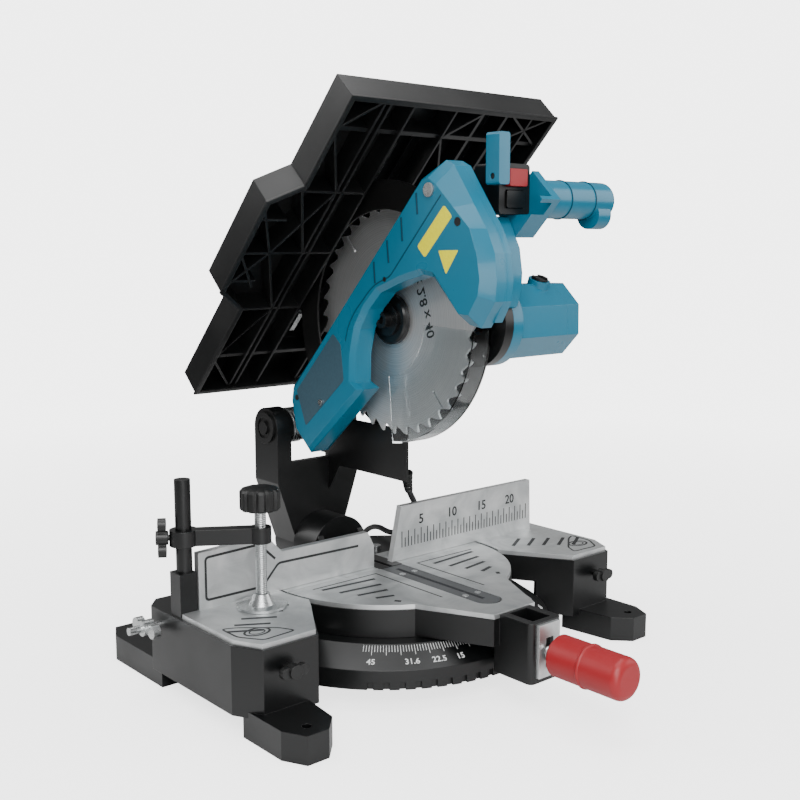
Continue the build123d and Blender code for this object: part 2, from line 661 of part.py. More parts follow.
DOME_PIN_Y, DOME_PIN_UP = 72.0, 24.0


def riving_knife():
    """Knife behind the blade, carried by the upper table."""
    top = TABLE2_Z + TABLE2_T
    knife = side([(86, top - 4), (79, top + 34), (58, top + 38), (64, top - 4)], -1, 1)
    knife += block(-3.4, 3.4, 60, 90, top - 12, top - 4)
    return knife - rod_x(-4, 4, DOME_PIN_Y, top + DOME_PIN_UP, 3 + SHAFT_GAP)


def blade_dome():
    """Clear-fronted guard over the blade on the upper table."""
    top = TABLE2_Z + TABLE2_T
    outline = [(74, top + 16), (70, top + 42), (30, top + 62), (-60, top + 66), (-130, top + 52),
               (-168, top + 16)]
    dome = side(outline, -17, 17)
    inner = side([(y * 0.96 - 1.5, z - 3) for y, z in outline], -14, 14)
    dome -= block(-1.5, 1.5, 34, 100, top, top + 70)
    dome -= inner + block(-30, 30, -300, 200, top - 20, top + 14)
    return dome + rod_x(-17, 17, DOME_PIN_Y, top + DOME_PIN_UP, 3)


def rip_fence():
    """Short guide block and rail on the upper table."""
    top = TABLE2_Z + TABLE2_T
    return block(96, 116, -240, 130, top + 0.3, top + 34) + block(116, 150, -40, -10, top + 0.3, top + 22)


# ---------------------------------------------------------------- work clamp
def clamp_post():
    """Round post of the work clamp."""
    return rod_z(SOCKET_FLOOR_Z, POST_TOP, POST_X, POST_Y, POST_R)


def arm_frame(piece):
    """Turn a piece drawn along +X from the post so that it points at the spindle."""
    turn = math.degrees(math.atan2(CLAMP_Y - POST_Y, CLAMP_X - POST_X))
    return Pos(POST_X, POST_Y, 0) * piece.rotate(Axis.Z, turn)


ARM_LENGTH = math.hypot(CLAMP_X - POST_X, CLAMP_Y - POST_Y)


def clamp_arm():
    """Cast arm that slides on the post and holds the spindle's nut."""
    low, high = ARM_Z - 8, ARM_Z + 8
    arm = rod_z(low, high, 0, 0, 14) + rod_z(low, high, ARM_LENGTH, 0, 11)
    arm += block(0, ARM_LENGTH, -7, 7, low, high)
    arm -= rod_z(100, 250, 0, 0, POST_R + SHAFT_GAP)
    arm -= rod_z(100, 250, ARM_LENGTH, 0, SPINDLE_R + SHAFT_GAP)
    arm -= rod_x(-30, -8.2, 0, ARM_Z, 3 + SHAFT_GAP)
    return arm_frame(arm)


def clamp_wing_knob():
    """Wing knob that locks the arm to the post."""
    knob = rod_x(-26, -8.6, 0, ARM_Z, 3) + rod_x(-27, -15, 0, ARM_Z, 7)
    for way in (-1, 1):
        knob += block(-25, -17, -4, 4, ARM_Z + way * 5, ARM_Z + way * 10)
        knob += rod_x(-25, -17, 0, ARM_Z + way * 13, 7)
    return arm_frame(knob)


def clamp_spindle():
    """Screwed spindle with its fluted knob."""
    body = rod_z(TABLE_Z + 15, 197, CLAMP_X, CLAMP_Y, SPINDLE_R) + rod_z(193, 199, CLAMP_X, CLAMP_Y, 9)
    knob = fillet(rod_z(198, 219, CLAMP_X, CLAMP_Y, 20.5).edges().group_by(Axis.Z)[-1], 4)
    for k in range(12):
        angle = math.radians(30 * k)
        knob -= rod_z(197.5, 240, CLAMP_X + 23 * math.cos(angle), CLAMP_Y + 23 * math.sin(angle), 3.4)
    return body + knob


def clamp_pad():
    """Dished pad on the spindle's end."""
    disc = rod_z(TABLE_Z + 0.3, TABLE_Z + 3, CLAMP_X, CLAMP_Y, 26)
    cone = Pos(CLAMP_X, CLAMP_Y, TABLE_Z + 8) * Cone(14, 8, 12)
    return disc + cone - rod_z(109.5, 130, CLAMP_X, CLAMP_Y, SPINDLE_R + SHAFT_GAP)


def side_rod():
    """Bright support rod in the side table's rear hole, with its wing nut."""
    y, z = SIDE_ROD_Y, SIDE_ROD_Z
    wing = -BASE_HALF - 14  # middle of the wing nut
    knob = rod_x(-BASE_HALF - 34, SIDE_ROD_END, y, z, SIDE_ROD_R)
    knob += rod_x(wing - 6, wing + 6, y, z, 8)
    for way in (-1, 1):
        knob += block(wing - 4, wing + 4, y + way * 4, y + way * 14, z - 4, z + 4)
        knob += rod_x(wing - 4, wing + 4, y + way * 16, z, 7)
    return knob


# ---------------------------------------------------------------- mains lead
LEAD_UPPER = [(22, -12.4, 201.5), (26, -8, 185), (40, 2, 170), (56, 13, 157), (69, 26, 143), (76, 42, 129),
              (78, 56, 116)]
LEAD_LOWER = [(78.1, 56.8, 115.4), (80, 75, 102), (86, 98, 98), (92, 122, 99), (97, 145, 93),
              (100, 165, 79), (103, 186, 62), (107, 208, 42), (111, 228, 22), (113, 250, 8), (111, 274, 4.2)]
COIL_X, COIL_Y = 150.0, 304.0
COIL_INNER_R, COIL_COLUMNS, COIL_LAYERS = 32.0, 3, 2
PLUG_X, PLUG_Y = 226.0, 265.0


def tube(points, name):
    """A lead along straight runs joined by arcs as large as the runs allow."""
    path = [Vector(*p) for p in points]
    radii = []
    for a, b, c in zip(path, path[1:], path[2:]):
        turn = math.radians((b - a).get_angle(c - b))
        radii.append(0.45 * min((b - a).length, (c - b).length) / math.tan(turn / 2))
    print(name, "bend radii", [round(r, 1) for r in radii])
    wire = FilletPolyline(*path, radius=radii)
    start = Plane(origin=path[0], z_dir=path[1] - path[0])
    lead = sweep(start * Circle(CORD_R), path=wire)
    print(name, "volume ratio", round(lead.volume / (math.pi * CORD_R ** 2 * wire.length), 4))
    return lead


def cord_coil():
    """Outer shape of the coiled part of the lead."""
    pitch = 2 * CORD_R
    inner = COIL_INNER_R - CORD_R
    outer = COIL_INNER_R + (COIL_COLUMNS - 1) * pitch + CORD_R
    height = COIL_LAYERS * pitch
    return rod_z(0.5, 0.5 + height, COIL_X, COIL_Y, outer) - rod_z(-1, 30, COIL_X, COIL_Y, inner)


def plug():
    """Moulded plug body with two pins and its sleeve, lying by the coil."""
    body = block(PLUG_X - 16, PLUG_X + 16, PLUG_Y - 20, PLUG_Y + 20, 0.2, 26)
    body = fillet(body.edges().filter_by(Axis.Y), 7)
    for x in (PLUG_X - 9.5, PLUG_X + 9.5):
        body += rod_y(PLUG_Y - 39, PLUG_Y - 20, x, 13, 2.4)
    return body


# ---------------------------------------------------------------- write the nodes
FIXED = {
    "base_casting": base_casting,
    "side_table_plates": side_plates,
    "left_fence": left_fence,
    "right_fence": right_fence,
    "fence_bolts": fence_bolts,
    "left_wing_bolt": lambda: wing_bolt(-225),
    "right_wing_bolt": lambda: wing_bolt(225),
    "clamp_post": clamp_post,
    "clamp_arm": clamp_arm,
    "clamp_wing_knob": clamp_wing_knob,
    "clamp_spindle": clamp_spindle,
    "clamp_pad": clamp_pad,
    "side_rod": side_rod,
    "turntable_casting": turntable_casting,
    "turntable_plate": turntable_plate,
    "kerf_insert": kerf_insert,
    "turntable_screws": turntable_screws,
    "arm_front_plate": arm_front_plate,
    "pivot_bolt": pivot_bolt,
    "mitre_handle_rod": handle_rod,
    "mitre_handle_grip": red_grip,
    "bevel_bracket": bevel_bracket,
    "bevel_pin": bevel_pin,
    "bevel_arm": bevel_arm,
    "head_shaft": head_shaft,
    "return_spring": return_spring,
    "bevel_lever": bevel_lever,
    "rear_guard": rear_guard,
    "switch_box": switch_box,
    "stop_button": lambda: button(SWITCH_Z + 1, 6),
    "start_button": lambda: button(SWITCH_Z - 20, 2),
    "switch_flap": switch_flap,
    "cord_upper": lambda: tube(LEAD_UPPER, "upper lead"),
    "cord_lead": lambda: tube(LEAD_LOWER, "lower lead"),
    "cord_coil": cord_coil,
    "plug": plug,
}

TILTED = {
    "blade_cover": blade_cover,
    "cover_screws": cover_screws,
    "head_casting": head_casting,
    "inner_guard": inner_guard,
    "belt_cover": belt_cover,
    "motor_housing": motor_housing,
    "motor_end_cap": motor_end_cap,
    "stator": stator,
    "rotor": rotor,
    "ball_bearings": ball_bearings,
    "brush_cap": brush_caps,
    "belt": belt,
    "arbor": arbor,
    "saw_blade": saw_blade,
    "blade_flanges": blade_flanges,
    "arbor_bolt": arbor_bolt,
    "lower_guard": lower_guard,
    "handle": handle,
    "upper_table": upper_table,
    "table_insert": table_insert,
    "guide_columns": guide_columns,
    "riving_knife": riving_knife,
    "blade_dome": blade_dome,
    "rip_fence": rip_fence,
}

for node, make in FIXED.items():
    save(node, make())
for node, make in TILTED.items():
    save(node, raised(make()))
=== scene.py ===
"""Bench mitre saw with an upper table: finishes, fine parts, mains lead, studio and camera."""

import json
import logging
import math
from dataclasses import dataclass
from enum import Enum

import bmesh
import bpy
import numpy as np
from mathutils import Matrix, Vector


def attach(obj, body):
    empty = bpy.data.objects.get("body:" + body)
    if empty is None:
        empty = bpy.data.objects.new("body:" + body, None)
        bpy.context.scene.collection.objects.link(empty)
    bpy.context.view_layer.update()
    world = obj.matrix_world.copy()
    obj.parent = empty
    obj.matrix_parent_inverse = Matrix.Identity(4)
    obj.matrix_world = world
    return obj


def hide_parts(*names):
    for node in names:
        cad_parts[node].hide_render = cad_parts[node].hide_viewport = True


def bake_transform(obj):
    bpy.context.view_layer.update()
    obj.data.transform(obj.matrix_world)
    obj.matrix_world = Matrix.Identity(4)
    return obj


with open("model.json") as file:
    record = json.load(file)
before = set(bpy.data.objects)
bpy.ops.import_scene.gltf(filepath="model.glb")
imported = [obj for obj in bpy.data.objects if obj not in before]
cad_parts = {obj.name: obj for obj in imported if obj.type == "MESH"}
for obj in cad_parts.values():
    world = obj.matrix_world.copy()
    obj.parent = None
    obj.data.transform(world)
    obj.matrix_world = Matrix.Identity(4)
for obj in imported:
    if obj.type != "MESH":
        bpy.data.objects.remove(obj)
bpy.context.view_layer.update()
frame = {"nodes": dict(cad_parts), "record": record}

LOG = logging.getLogger("mitre_saw")
MM = 0.001
TAU = 2 * math.pi
Shell = tuple[np.ndarray, list]
Tree = bpy.types.NodeTree
Socket = bpy.types.NodeSocket
Points = np.ndarray | list | tuple

# The head turns about its pivot shaft from lowered to rest; its parts are laid out lowered.
PIVOT_Y, PIVOT_Z = 150.0, 241.0
HEAD_LIFT = math.radians(46)
HEAD_COS, HEAD_SIN = math.cos(HEAD_LIFT), math.sin(HEAD_LIFT)
HANDLE_AXIS = (-258.0, 197.0)  # y and z with the head lowered


class Slot(Enum):
    """Material slots of the record."""

    CAST = "black_cast"
    PLATE = "bright_aluminium"
    STEEL = "steel"
    BLADE = "blade_steel"
    TEAL = "teal_plastic"
    BLACK = "black_plastic"
    RED = "red_plastic"
    CLEAR = "clear_guard"
    RUBBER = "rubber"
    COPPER = "copper_iron"


class Lie(Enum):
    """Plane that a flat outline is drawn in, as the axes of its two numbers and of its normal."""

    FLAT = (0, 1, 2)
    FACING_FRONT = (0, 2, 1)
    FACING_SIDE = (1, 2, 0)


# ------------------------------------------------------------------ colour and nodes
def linear(hex_colour: str) -> tuple[float, float, float, float]:
    """Turn an sRGB hex colour into linear values.

    Args:
        hex_colour: Six hex digits after a hash.

    Returns:
        Red, green, blue and an alpha of one.
    """
    coded = np.array([int(hex_colour[k : k + 2], 16) / 255 for k in (1, 3, 5)])
    plain = np.where(coded <= 0.04045, coded / 12.92, ((coded + 0.055) / 1.055) ** 2.4)
    return (*plain.tolist(), 1.0)


def add(tree: Tree, kind: str, inputs: dict | None = None, **settings) -> bpy.types.Node:
    """Add one node with its settings and links.

    Args:
        tree: Node tree that takes the node.
        kind: Blender's name of the node type.
        inputs: Socket name or number to a value, or to the output socket that feeds it.
        **settings: Properties of the node.

    Returns:
        The node.
    """
    node = tree.nodes.new(kind)
    for name, value in settings.items():
        setattr(node, name, value)
    for name, value in (inputs or {}).items():
        if isinstance(value, Socket):
            tree.links.new(value, node.inputs[name])
        else:
            node.inputs[name].default_value = value
    return node


# ------------------------------------------------------------------ finishes
@dataclass(frozen=True)
class Finish:
    """A surface finish, with the values its shader starts from.

    Args:
        name: The material's common name and how its surface was made.
        slot: Slot of the record that it belongs to; not used.
        colour: sRGB hex colour.
        metallic: Share of metal.
        roughness: Middle roughness.
        coat: Weight of a clear coat.
        edge_mm: Radius that worn or moulded edges catch the light with.
    """

    name: str
    slot: Slot
    colour: str
    metallic: float = 0.0
    roughness: float = 0.5
    coat: float = 0.0
    edge_mm: float = 0.6

    def material(self) -> bpy.types.Material:
        """Return the material, made once."""
        found = bpy.data.materials.get(self.name)
        if found:
            return found
        made = bpy.data.materials.new(self.name)
        made.use_nodes = True
        tree = made.node_tree
        tree.nodes.clear()
        values = {"Base Color": linear(self.colour), "Metallic": self.metallic, "Roughness": self.roughness}
        shader = add(tree, "ShaderNodeBsdfPrincipled", {**values, "Coat Weight": self.coat})
        add(tree, "ShaderNodeOutputMaterial", {"Surface": shader.outputs["BSDF"]})
        place = add(tree, "ShaderNodeTexCoord").outputs["Object"]
        edge = add(tree, "ShaderNodeBevel", {"Radius": self.edge_mm * MM}, samples=4).outputs["Normal"]
        self.detail(tree, shader, place, edge)
        made.diffuse_color = linear(self.colour)
        return made

    def detail(self, tree: Tree, shader: bpy.types.Node, place: Socket, edge: Socket) -> None:
        """Link the softened edges; finer finishes add their pattern here.

        Args:
            tree: Node tree.
            shader: Principled shader.
            place: Object coordinates in metres.
            edge: Normal with its edges softened.
        """
        tree.links.new(edge, shader.inputs["Normal"])

    def two_tone(self, tree: Tree, factor: Socket, other: str) -> Socket:
        """Mix the finish's colour with another by a factor.

        Args:
            tree: Node tree.
            factor: Socket that runs from 0 to 1.
            other: Hex colour at factor 1.

        Returns:
            The mixed colour's socket.
        """
        mix = add(tree, "ShaderNodeMix", {0: factor, 6: linear(self.colour), 7: linear(other)}, data_type="RGBA")
        return mix.outputs[2]

    def span(self, tree: Tree, value: Socket, low: float, high: float) -> Socket:
        """Spread a noise value over a range, and return the socket."""
        sizes = {"Value": value, 1: 0.35, 2: 0.65, 3: low, 4: high}
        return add(tree, "ShaderNodeMapRange", sizes).outputs[0]


@dataclass(frozen=True)
class MouldedShell(Finish):
    """Injection-moulded plastic: a spark-eroded grain scatters the gloss, and large areas shift a little in tone.

    Args:
        grain_mm: Width of one grain.
        depth_mm: Height of the grain.
        shade: Hex colour of the duller areas.
    """

    grain_mm: float = 0.9
    depth_mm: float = 0.02
    shade: str = "#0D6580"

    def detail(self, tree: Tree, shader: bpy.types.Node, place: Socket, edge: Socket) -> None:
        """Add grain as a bump and tone as a slow noise.

        Args:
            tree: Node tree.
            shader: Principled shader.
            place: Object coordinates in metres.
            edge: Normal with its edges softened.
        """
        grain = add(tree, "ShaderNodeTexNoise", {"Vector": place, "Scale": 1 / (self.grain_mm * MM), "Detail": 2.0})
        slow = add(tree, "ShaderNodeTexNoise", {"Vector": place, "Scale": 1 / (90 * MM), "Detail": 3.0})
        relief = {"Strength": 0.35, "Distance": self.depth_mm * MM, "Height": grain.outputs[0], "Normal": edge}
        bump = add(tree, "ShaderNodeBump", relief)
        tree.links.new(bump.outputs[0], shader.inputs["Normal"])
        tree.links.new(self.two_tone(tree, slow.outputs[0], self.shade), shader.inputs["Base Color"])
        rough = self.span(tree, slow.outputs[0], self.roughness - 0.06, self.roughness + 0.06)
        tree.links.new(rough, shader.inputs["Roughness"])


@dataclass(frozen=True)
class PowderCoat(MouldedShell):
    """Cast aluminium under black powder coat: its orange-peel skin breaks the gloss into soft waves."""


@dataclass(frozen=True)
class BrushedPlate(Finish):
    """Aluminium plate brushed along one way: fine straight scratches, and cloudy patches from handling.

    Args:
        scratch_mm: Width of one scratch, drawn coarser than the real 0.05 mm so that it shows.
        length_mm: Length of a scratch.
        along: Axis of the scratches.
        shade: Hex colour of the dull patches.
    """

    scratch_mm: float = 0.5
    length_mm: float = 60.0
    along: int = 0
    shade: str = "#B4B7B8"

    def detail(self, tree: Tree, shader: bpy.types.Node, place: Socket, edge: Socket) -> None:
        """Add scratches as a stretched noise and clouds as a slow one.

        Args:
            tree: Node tree.
            shader: Principled shader.
            place: Object coordinates in metres.
            edge: Normal with its edges softened.
        """
        stretch = np.full(3, 1 / (self.scratch_mm * MM))
        stretch[self.along] = 1 / (self.length_mm * MM)
        turned = add(tree, "ShaderNodeMapping", {"Vector": place, "Scale": stretch.tolist()}).outputs[0]
        lines = add(tree, "ShaderNodeTexNoise", {"Vector": turned, "Scale": 1.0, "Detail": 2.0}).outputs[0]
        cloud_size = {"Vector": place, "Scale": 1 / (45 * MM), "Detail": 4.0, "Distortion": 0.8}
        clouds = add(tree, "ShaderNodeTexNoise", cloud_size).outputs[0]
        tree.links.new(self.two_tone(tree, self.span(tree, clouds, 0.0, 0.8), self.shade), shader.inputs[0])
        both = add(tree, "ShaderNodeMath", {0: lines, 1: clouds}, operation="MULTIPLY").outputs[0]
        spread = add(tree, "ShaderNodeMapRange", {"Value": both, 1: 0.15, 2: 0.4, 3: self.roughness - 0.08,
                                                  4: self.roughness + 0.14}).outputs[0]
        tree.links.new(spread, shader.inputs["Roughness"])
        relief = {"Strength": 0.12, "Distance": 0.03 * MM, "Height": lines, "Normal": edge}
        tree.links.new(add(tree, "ShaderNodeBump", relief).outputs[0], shader.inputs["Normal"])


@dataclass(frozen=True)
class GroundBlade(Finish):
    """Saw steel ground in rings: each ring's gloss differs, so light draws a fan across the disc.

    Args:
        centre: The arbor's y and z in metres.
        ring_mm: Width of one grinding ring.
        shade: Hex colour between the bright rings.
    """

    centre: tuple[float, float] = (0.0, 0.0)
    ring_mm: float = 0.9
    shade: str = "#D6D7D7"

    def detail(self, tree: Tree, shader: bpy.types.Node, place: Socket, edge: Socket) -> None:
        """Add rings as a noise that only the distance from the arbor drives.

        Args:
            tree: Node tree.
            shader: Principled shader.
            place: Object coordinates in metres.
            edge: Normal with its edges softened.
        """
        shift = (0.0, -self.centre[0], -self.centre[1])
        moved = add(tree, "ShaderNodeMapping", {"Vector": place, "Location": shift}).outputs[0]
        flat = add(tree, "ShaderNodeVectorMath", {0: moved, 1: (0.0, 1.0, 1.0)}, operation="MULTIPLY").outputs[0]
        reach = add(tree, "ShaderNodeVectorMath", {0: flat}, operation="LENGTH").outputs[1]
        size = {"W": reach, "Scale": 1 / (self.ring_mm * MM), "Detail": 2.0}
        rings = add(tree, "ShaderNodeTexNoise", size, noise_dimensions="1D").outputs[0]
        tree.links.new(self.two_tone(tree, self.span(tree, rings, 0.0, 1.0), self.shade), shader.inputs[0])
        rough = self.span(tree, rings, self.roughness - 0.07, self.roughness + 0.07)
        tree.links.new(rough, shader.inputs["Roughness"])
        relief = {"Strength": 0.15, "Distance": 0.02 * MM, "Height": rings, "Normal": edge}
        tree.links.new(add(tree, "ShaderNodeBump", relief).outputs[0], shader.inputs["Normal"])


@dataclass(frozen=True)
class ClearSheet(Finish):
    """Polycarbonate, moulded clear: sharp edges glow and faint haze sits on the faces."""

    def detail(self, tree: Tree, shader: bpy.types.Node, place: Socket, edge: Socket) -> None:
        """Set the glassy values and a slow haze in the gloss.

        Args:
            tree: Node tree.
            shader: Principled shader.
            place: Object coordinates in metres.
            edge: Normal with its edges softened.
        """
        shader.inputs["Transmission Weight"].default_value = 1.0
        shader.inputs["IOR"].default_value = 1.45
        haze = add(tree, "ShaderNodeTexNoise", {"Vector": place, "Scale": 1 / (30 * MM), "Detail": 3.0}).outputs[0]
        rough = self.span(tree, haze, self.roughness, self.roughness + 0.08)
        tree.links.new(rough, shader.inputs["Roughness"])


@dataclass(frozen=True)
class Ink(Finish):
    """Enamel ink or paint in a shallow mark: matt, a little uneven where it was wiped.

    Args:
        shade: Hex colour of the worn spots.
    """

    shade: str = "#202224"

    def detail(self, tree: Tree, shader: bpy.types.Node, place: Socket, edge: Socket) -> None:
        """Mix in the worn tone by a fine noise.

        Args:
            tree: Node tree.
            shader: Principled shader.
            place: Object coordinates in metres.
            edge: Normal with its edges softened.
        """
        worn = add(tree, "ShaderNodeTexNoise", {"Vector": place, "Scale": 1 / (3 * MM), "Detail": 3.0}).outputs[0]
        tree.links.new(self.two_tone(tree, self.span(tree, worn, 0.0, 0.6), self.shade), shader.inputs[0])


HUB_REST = (-15.95, 376.85)
HUB_LOW = (-63.0, 216.0)
# Sand-cast aluminium under black powder coat: soft highlights with a fine waviness.
CAST = PowderCoat("powder_coated_cast_aluminium", Slot.CAST, "#08090A", roughness=0.36, edge_mm=1.0,
                  grain_mm=1.6, depth_mm=0.05, shade="#050606")
# The same coat on the thin table casting, a little duller.
SATIN = PowderCoat("powder_coated_table_casting", Slot.CAST, "#090A0B", roughness=0.42, edge_mm=1.0,
                   grain_mm=1.6, depth_mm=0.05, shade="#060707")
# Rolled aluminium plate, brushed: light grey with cloudy patches from handling.
PLATE = BrushedPlate("brushed_aluminium_plate", Slot.PLATE, "#DEE0E0", metallic=1.0, roughness=0.47, edge_mm=0.5)
# Extruded aluminium, brushed: lighter than the plates.
FENCE = BrushedPlate("brushed_aluminium_fence", Slot.PLATE, "#E2E3E3", metallic=1.0, roughness=0.5, edge_mm=0.5)
# Zinc-plated steel, turned or drawn: brighter and finer.
ZINC = BrushedPlate("zinc_plated_steel", Slot.STEEL, "#C4C6C6", metallic=1.0, roughness=0.28, edge_mm=0.4,
                    scratch_mm=0.8, length_mm=6.0)
# Hardened saw steel, ground in rings: bright, with a fan of light.
BLADE = GroundBlade("ground_saw_steel", Slot.BLADE, "#EDEDED", metallic=1.0, roughness=0.5, edge_mm=0.2,
                    centre=(HUB_REST[0] * MM, HUB_REST[1] * MM))
# Glass-filled nylon, injection-moulded: even colour with a half gloss.
TEAL = MouldedShell("moulded_teal_nylon", Slot.TEAL, "#0F6F8B", roughness=0.32, coat=0.15, edge_mm=0.9,
                    shade="#0D6580")
# Painted shade: the same nylon darkened for the shade deep in a groove or seam, where little light falls.
TEAL_GROOVE_SHADE = MouldedShell("teal_nylon_painted_groove_shade", Slot.TEAL, "#0C3F54", roughness=0.5, edge_mm=0.3,
                         shade="#0A3648")
# Black nylon, moulded with a fine grain.
BLACK = MouldedShell("moulded_black_nylon", Slot.BLACK, "#090A0A", roughness=0.42, edge_mm=0.7, shade="#060606")
# Grey nylon of the kerf insert, scuffed to a dull tone.
GREY = MouldedShell("moulded_grey_insert", Slot.BLACK, "#4A4C4E", roughness=0.5, edge_mm=0.4, shade="#3E4042")
# Soft red plastic, moulded: rounded highlights.
RED = MouldedShell("moulded_red_grip", Slot.RED, "#9C161E", roughness=0.42, edge_mm=0.9, shade="#8A1118")
# Polycarbonate, moulded clear.
CLEAR = ClearSheet("clear_polycarbonate", Slot.CLEAR, "#F4F8F9", roughness=0.04)
# PVC sheath, extruded: dull black.
RUBBER = MouldedShell("extruded_rubber_sheath", Slot.RUBBER, "#19191B", roughness=0.55, edge_mm=0.3, shade="#121213")
# Copper winding under varnish.
COPPER = MouldedShell("varnished_copper_winding", Slot.COPPER, "#8A4B2A", metallic=1.0, roughness=0.4,
                      shade="#6B3A20")
# Aluminium insert, anodised black.
DARK_PLATE = BrushedPlate("anodised_dark_plate", Slot.PLATE, "#1A1B1C", metallic=1.0, roughness=0.45,
                        edge_mm=0.4, shade="#121313")
# Flange and bolt, blued and oiled: dark with a clear highlight.
DARK_GLOSS = MouldedShell("blued_steel_hub", Slot.BLACK, "#131415", roughness=0.3, edge_mm=0.4,
                          shade="#060707")
# Enamel filled into the marks of the bright parts.
BLACK_INK = Ink("black_enamel_ink", Slot.PLATE, "#161718", roughness=0.55)
# Figures etched dark on the blade.
BLADE_INK = Ink("etched_blade_mark", Slot.BLADE, "#2A2B2C", roughness=0.6)
# White enamel in the cast scale.
WHITE_INK = Ink("white_enamel_ink", Slot.CAST, "#D9DADA", roughness=0.6, shade="#B4B6B6")
# Printed polyester film, blank.
YELLOW = Ink("yellow_label_film", Slot.TEAL, "#F0E600", roughness=0.4, shade="#E2D800")
# The same film in blue grey.
PANEL = Ink("blue_grey_label_film", Slot.TEAL, "#33505E", roughness=0.4, shade="#2C4754")


# ------------------------------------------------------------------ surfaces
def raised(points: np.ndarray) -> np.ndarray:
    """Turn lowered-head points to the raised rest pose: a 46 degree turn about the pivot's x axis.

    Args:
        points: Array whose last axis is x, y, z in millimetres.

    Returns:
        The turned array.
    """
    y, z = points[..., 1] - PIVOT_Y, points[..., 2] - PIVOT_Z
    turned = [points[..., 0], PIVOT_Y + HEAD_COS * y + HEAD_SIN * z, PIVOT_Z - HEAD_SIN * y + HEAD_COS * z]
    return np.stack(turned, axis=-1)


def laid(outline: np.ndarray, level: np.ndarray | float, lie: Lie) -> np.ndarray:
    """Put flat points in space: the outline's two numbers go on the plane's axes, the level on its normal.

    Args:
        outline: Flat points.
        level: Height on the plane's normal, one for all or one for each point.
        lie: Plane of the outline.

    Returns:
        Points in space.
    """
    flat = np.asarray(outline, float)
    space = np.zeros((*flat.shape[:-1], 3))
    first, second, normal = lie.value
    space[..., first], space[..., second], space[..., normal] = flat[..., 0], flat[..., 1], level
    return space


def grid_faces(rows: int, columns: int, wrap: bool = True, close_rows: bool = False) -> list:
    """Quads between neighbouring rows of a grid of points.

    Args:
        rows: Rows in the grid.
        columns: Points in a row.
        wrap: Whether a row's last point joins its first.
        close_rows: Whether the last row joins the first.

    Returns:
        Faces as lists of four point numbers.
    """
    row = np.arange(rows if close_rows else rows - 1)[:, None]
    column = np.arange(columns if wrap else columns - 1)[None, :]
    below, after = (row + 1) % rows, (column + 1) % columns
    corners = [row * columns + column, row * columns + after, below * columns + after, below * columns + column]
    return np.stack(np.broadcast_arrays(*corners), axis=-1).reshape(-1, 4).tolist()


def loft(rings: np.ndarray, close: bool = False) -> Shell:
    """Skin rings of points in order; open ends are closed with a flat face.

    Args:
        rings: Array of rings by points by x, y, z.
        close: Whether the last ring joins the first, as on a hoop.

    Returns:
        Points and faces.
    """
    rows, columns = rings.shape[:2]
    faces = grid_faces(rows, columns, close_rows=close)
    if not close:
        faces += [list(range(columns))[::-1], list(range((rows - 1) * columns, rows * columns))]
    return rings.reshape(-1, 3), faces


def joined(shells: list[Shell]) -> Shell:
    """Put several shells in one, with their point numbers moved on."""
    starts = np.cumsum([0] + [len(points) for points, _ in shells])
    faces = [[k + start for k in face] for (_, some), start in zip(shells, starts) for face in some]
    return np.concatenate([points for points, _ in shells]), faces


def inset(outline: np.ndarray, by: float) -> np.ndarray:
    """Move a closed outline inwards: each corner slides along its mitre so that both sides move by the same step.

    Args:
        outline: Corners in order, either way round.
        by: Distance that a side moves.

    Returns:
        The smaller outline.
    """
    before, after = outline - np.roll(outline, 1, 0), np.roll(outline, -1, 0) - outline
    before /= np.linalg.norm(before, axis=1, keepdims=True)
    after /= np.linalg.norm(after, axis=1, keepdims=True)
    sign = math.copysign(1.0, float(np.sum(np.cross(outline, np.roll(outline, -1, 0)))))
    left = sign * np.stack([-before[:, 1] - after[:, 1], before[:, 0] + after[:, 0]], axis=1)
    return outline + by * left / np.maximum(0.5, 1 + np.sum(before * after, axis=1, keepdims=True))


def rounded(outline: Points, radius: float, steps: int = 5, closed: bool = True) -> np.ndarray:
    """Round an outline's corners: each is the quadratic curve between points a radius away on its two sides.

    Args:
        outline: Corners in order.
        radius: Distance from the corner to the curve's ends.
        steps: Points per corner.
        closed: Whether the last corner joins the first.

    Returns:
        The rounded outline.
    """
    corners = np.asarray(outline, float)
    before, after = np.roll(corners, 1, 0) - corners, np.roll(corners, -1, 0) - corners
    reach_in, reach_out = (np.linalg.norm(way, axis=1, keepdims=True) for way in (before, after))
    begin = corners + before / reach_in * np.minimum(radius, 0.45 * reach_in)
    end = corners + after / reach_out * np.minimum(radius, 0.45 * reach_out)
    if not closed:
        begin[0], end[0], begin[-1], end[-1] = corners[0], corners[0], corners[-1], corners[-1]
    t = np.linspace(0, 1, steps)[None, :, None]
    curve = (1 - t) ** 2 * begin[:, None] + 2 * t * (1 - t) * corners[:, None] + t**2 * end[:, None]
    if not closed:
        return np.concatenate([curve[0, :1], curve[1:-1].reshape(-1, corners.shape[1]), curve[-1, -1:]])
    return curve.reshape(-1, corners.shape[1])


def slab(outline: Points, low: float, high: float, lie: Lie = Lie.FLAT, edge: float = 0.4) -> Shell:
    """A flat outline given thickness, with its edges taken off: four rings, the outer two drawn in by the edge.

    Args:
        outline: Corners in order.
        low: Level of one face.
        high: Level of the other.
        lie: Plane of the outline.
        edge: Width of the chamfer.

    Returns:
        Points and faces.
    """
    flat = np.asarray(outline, float)
    small = inset(flat, edge)
    rings = [laid(small, low, lie), laid(flat, low + edge, lie), laid(flat, high - edge, lie), laid(small, high, lie)]
    return loft(np.stack(rings))


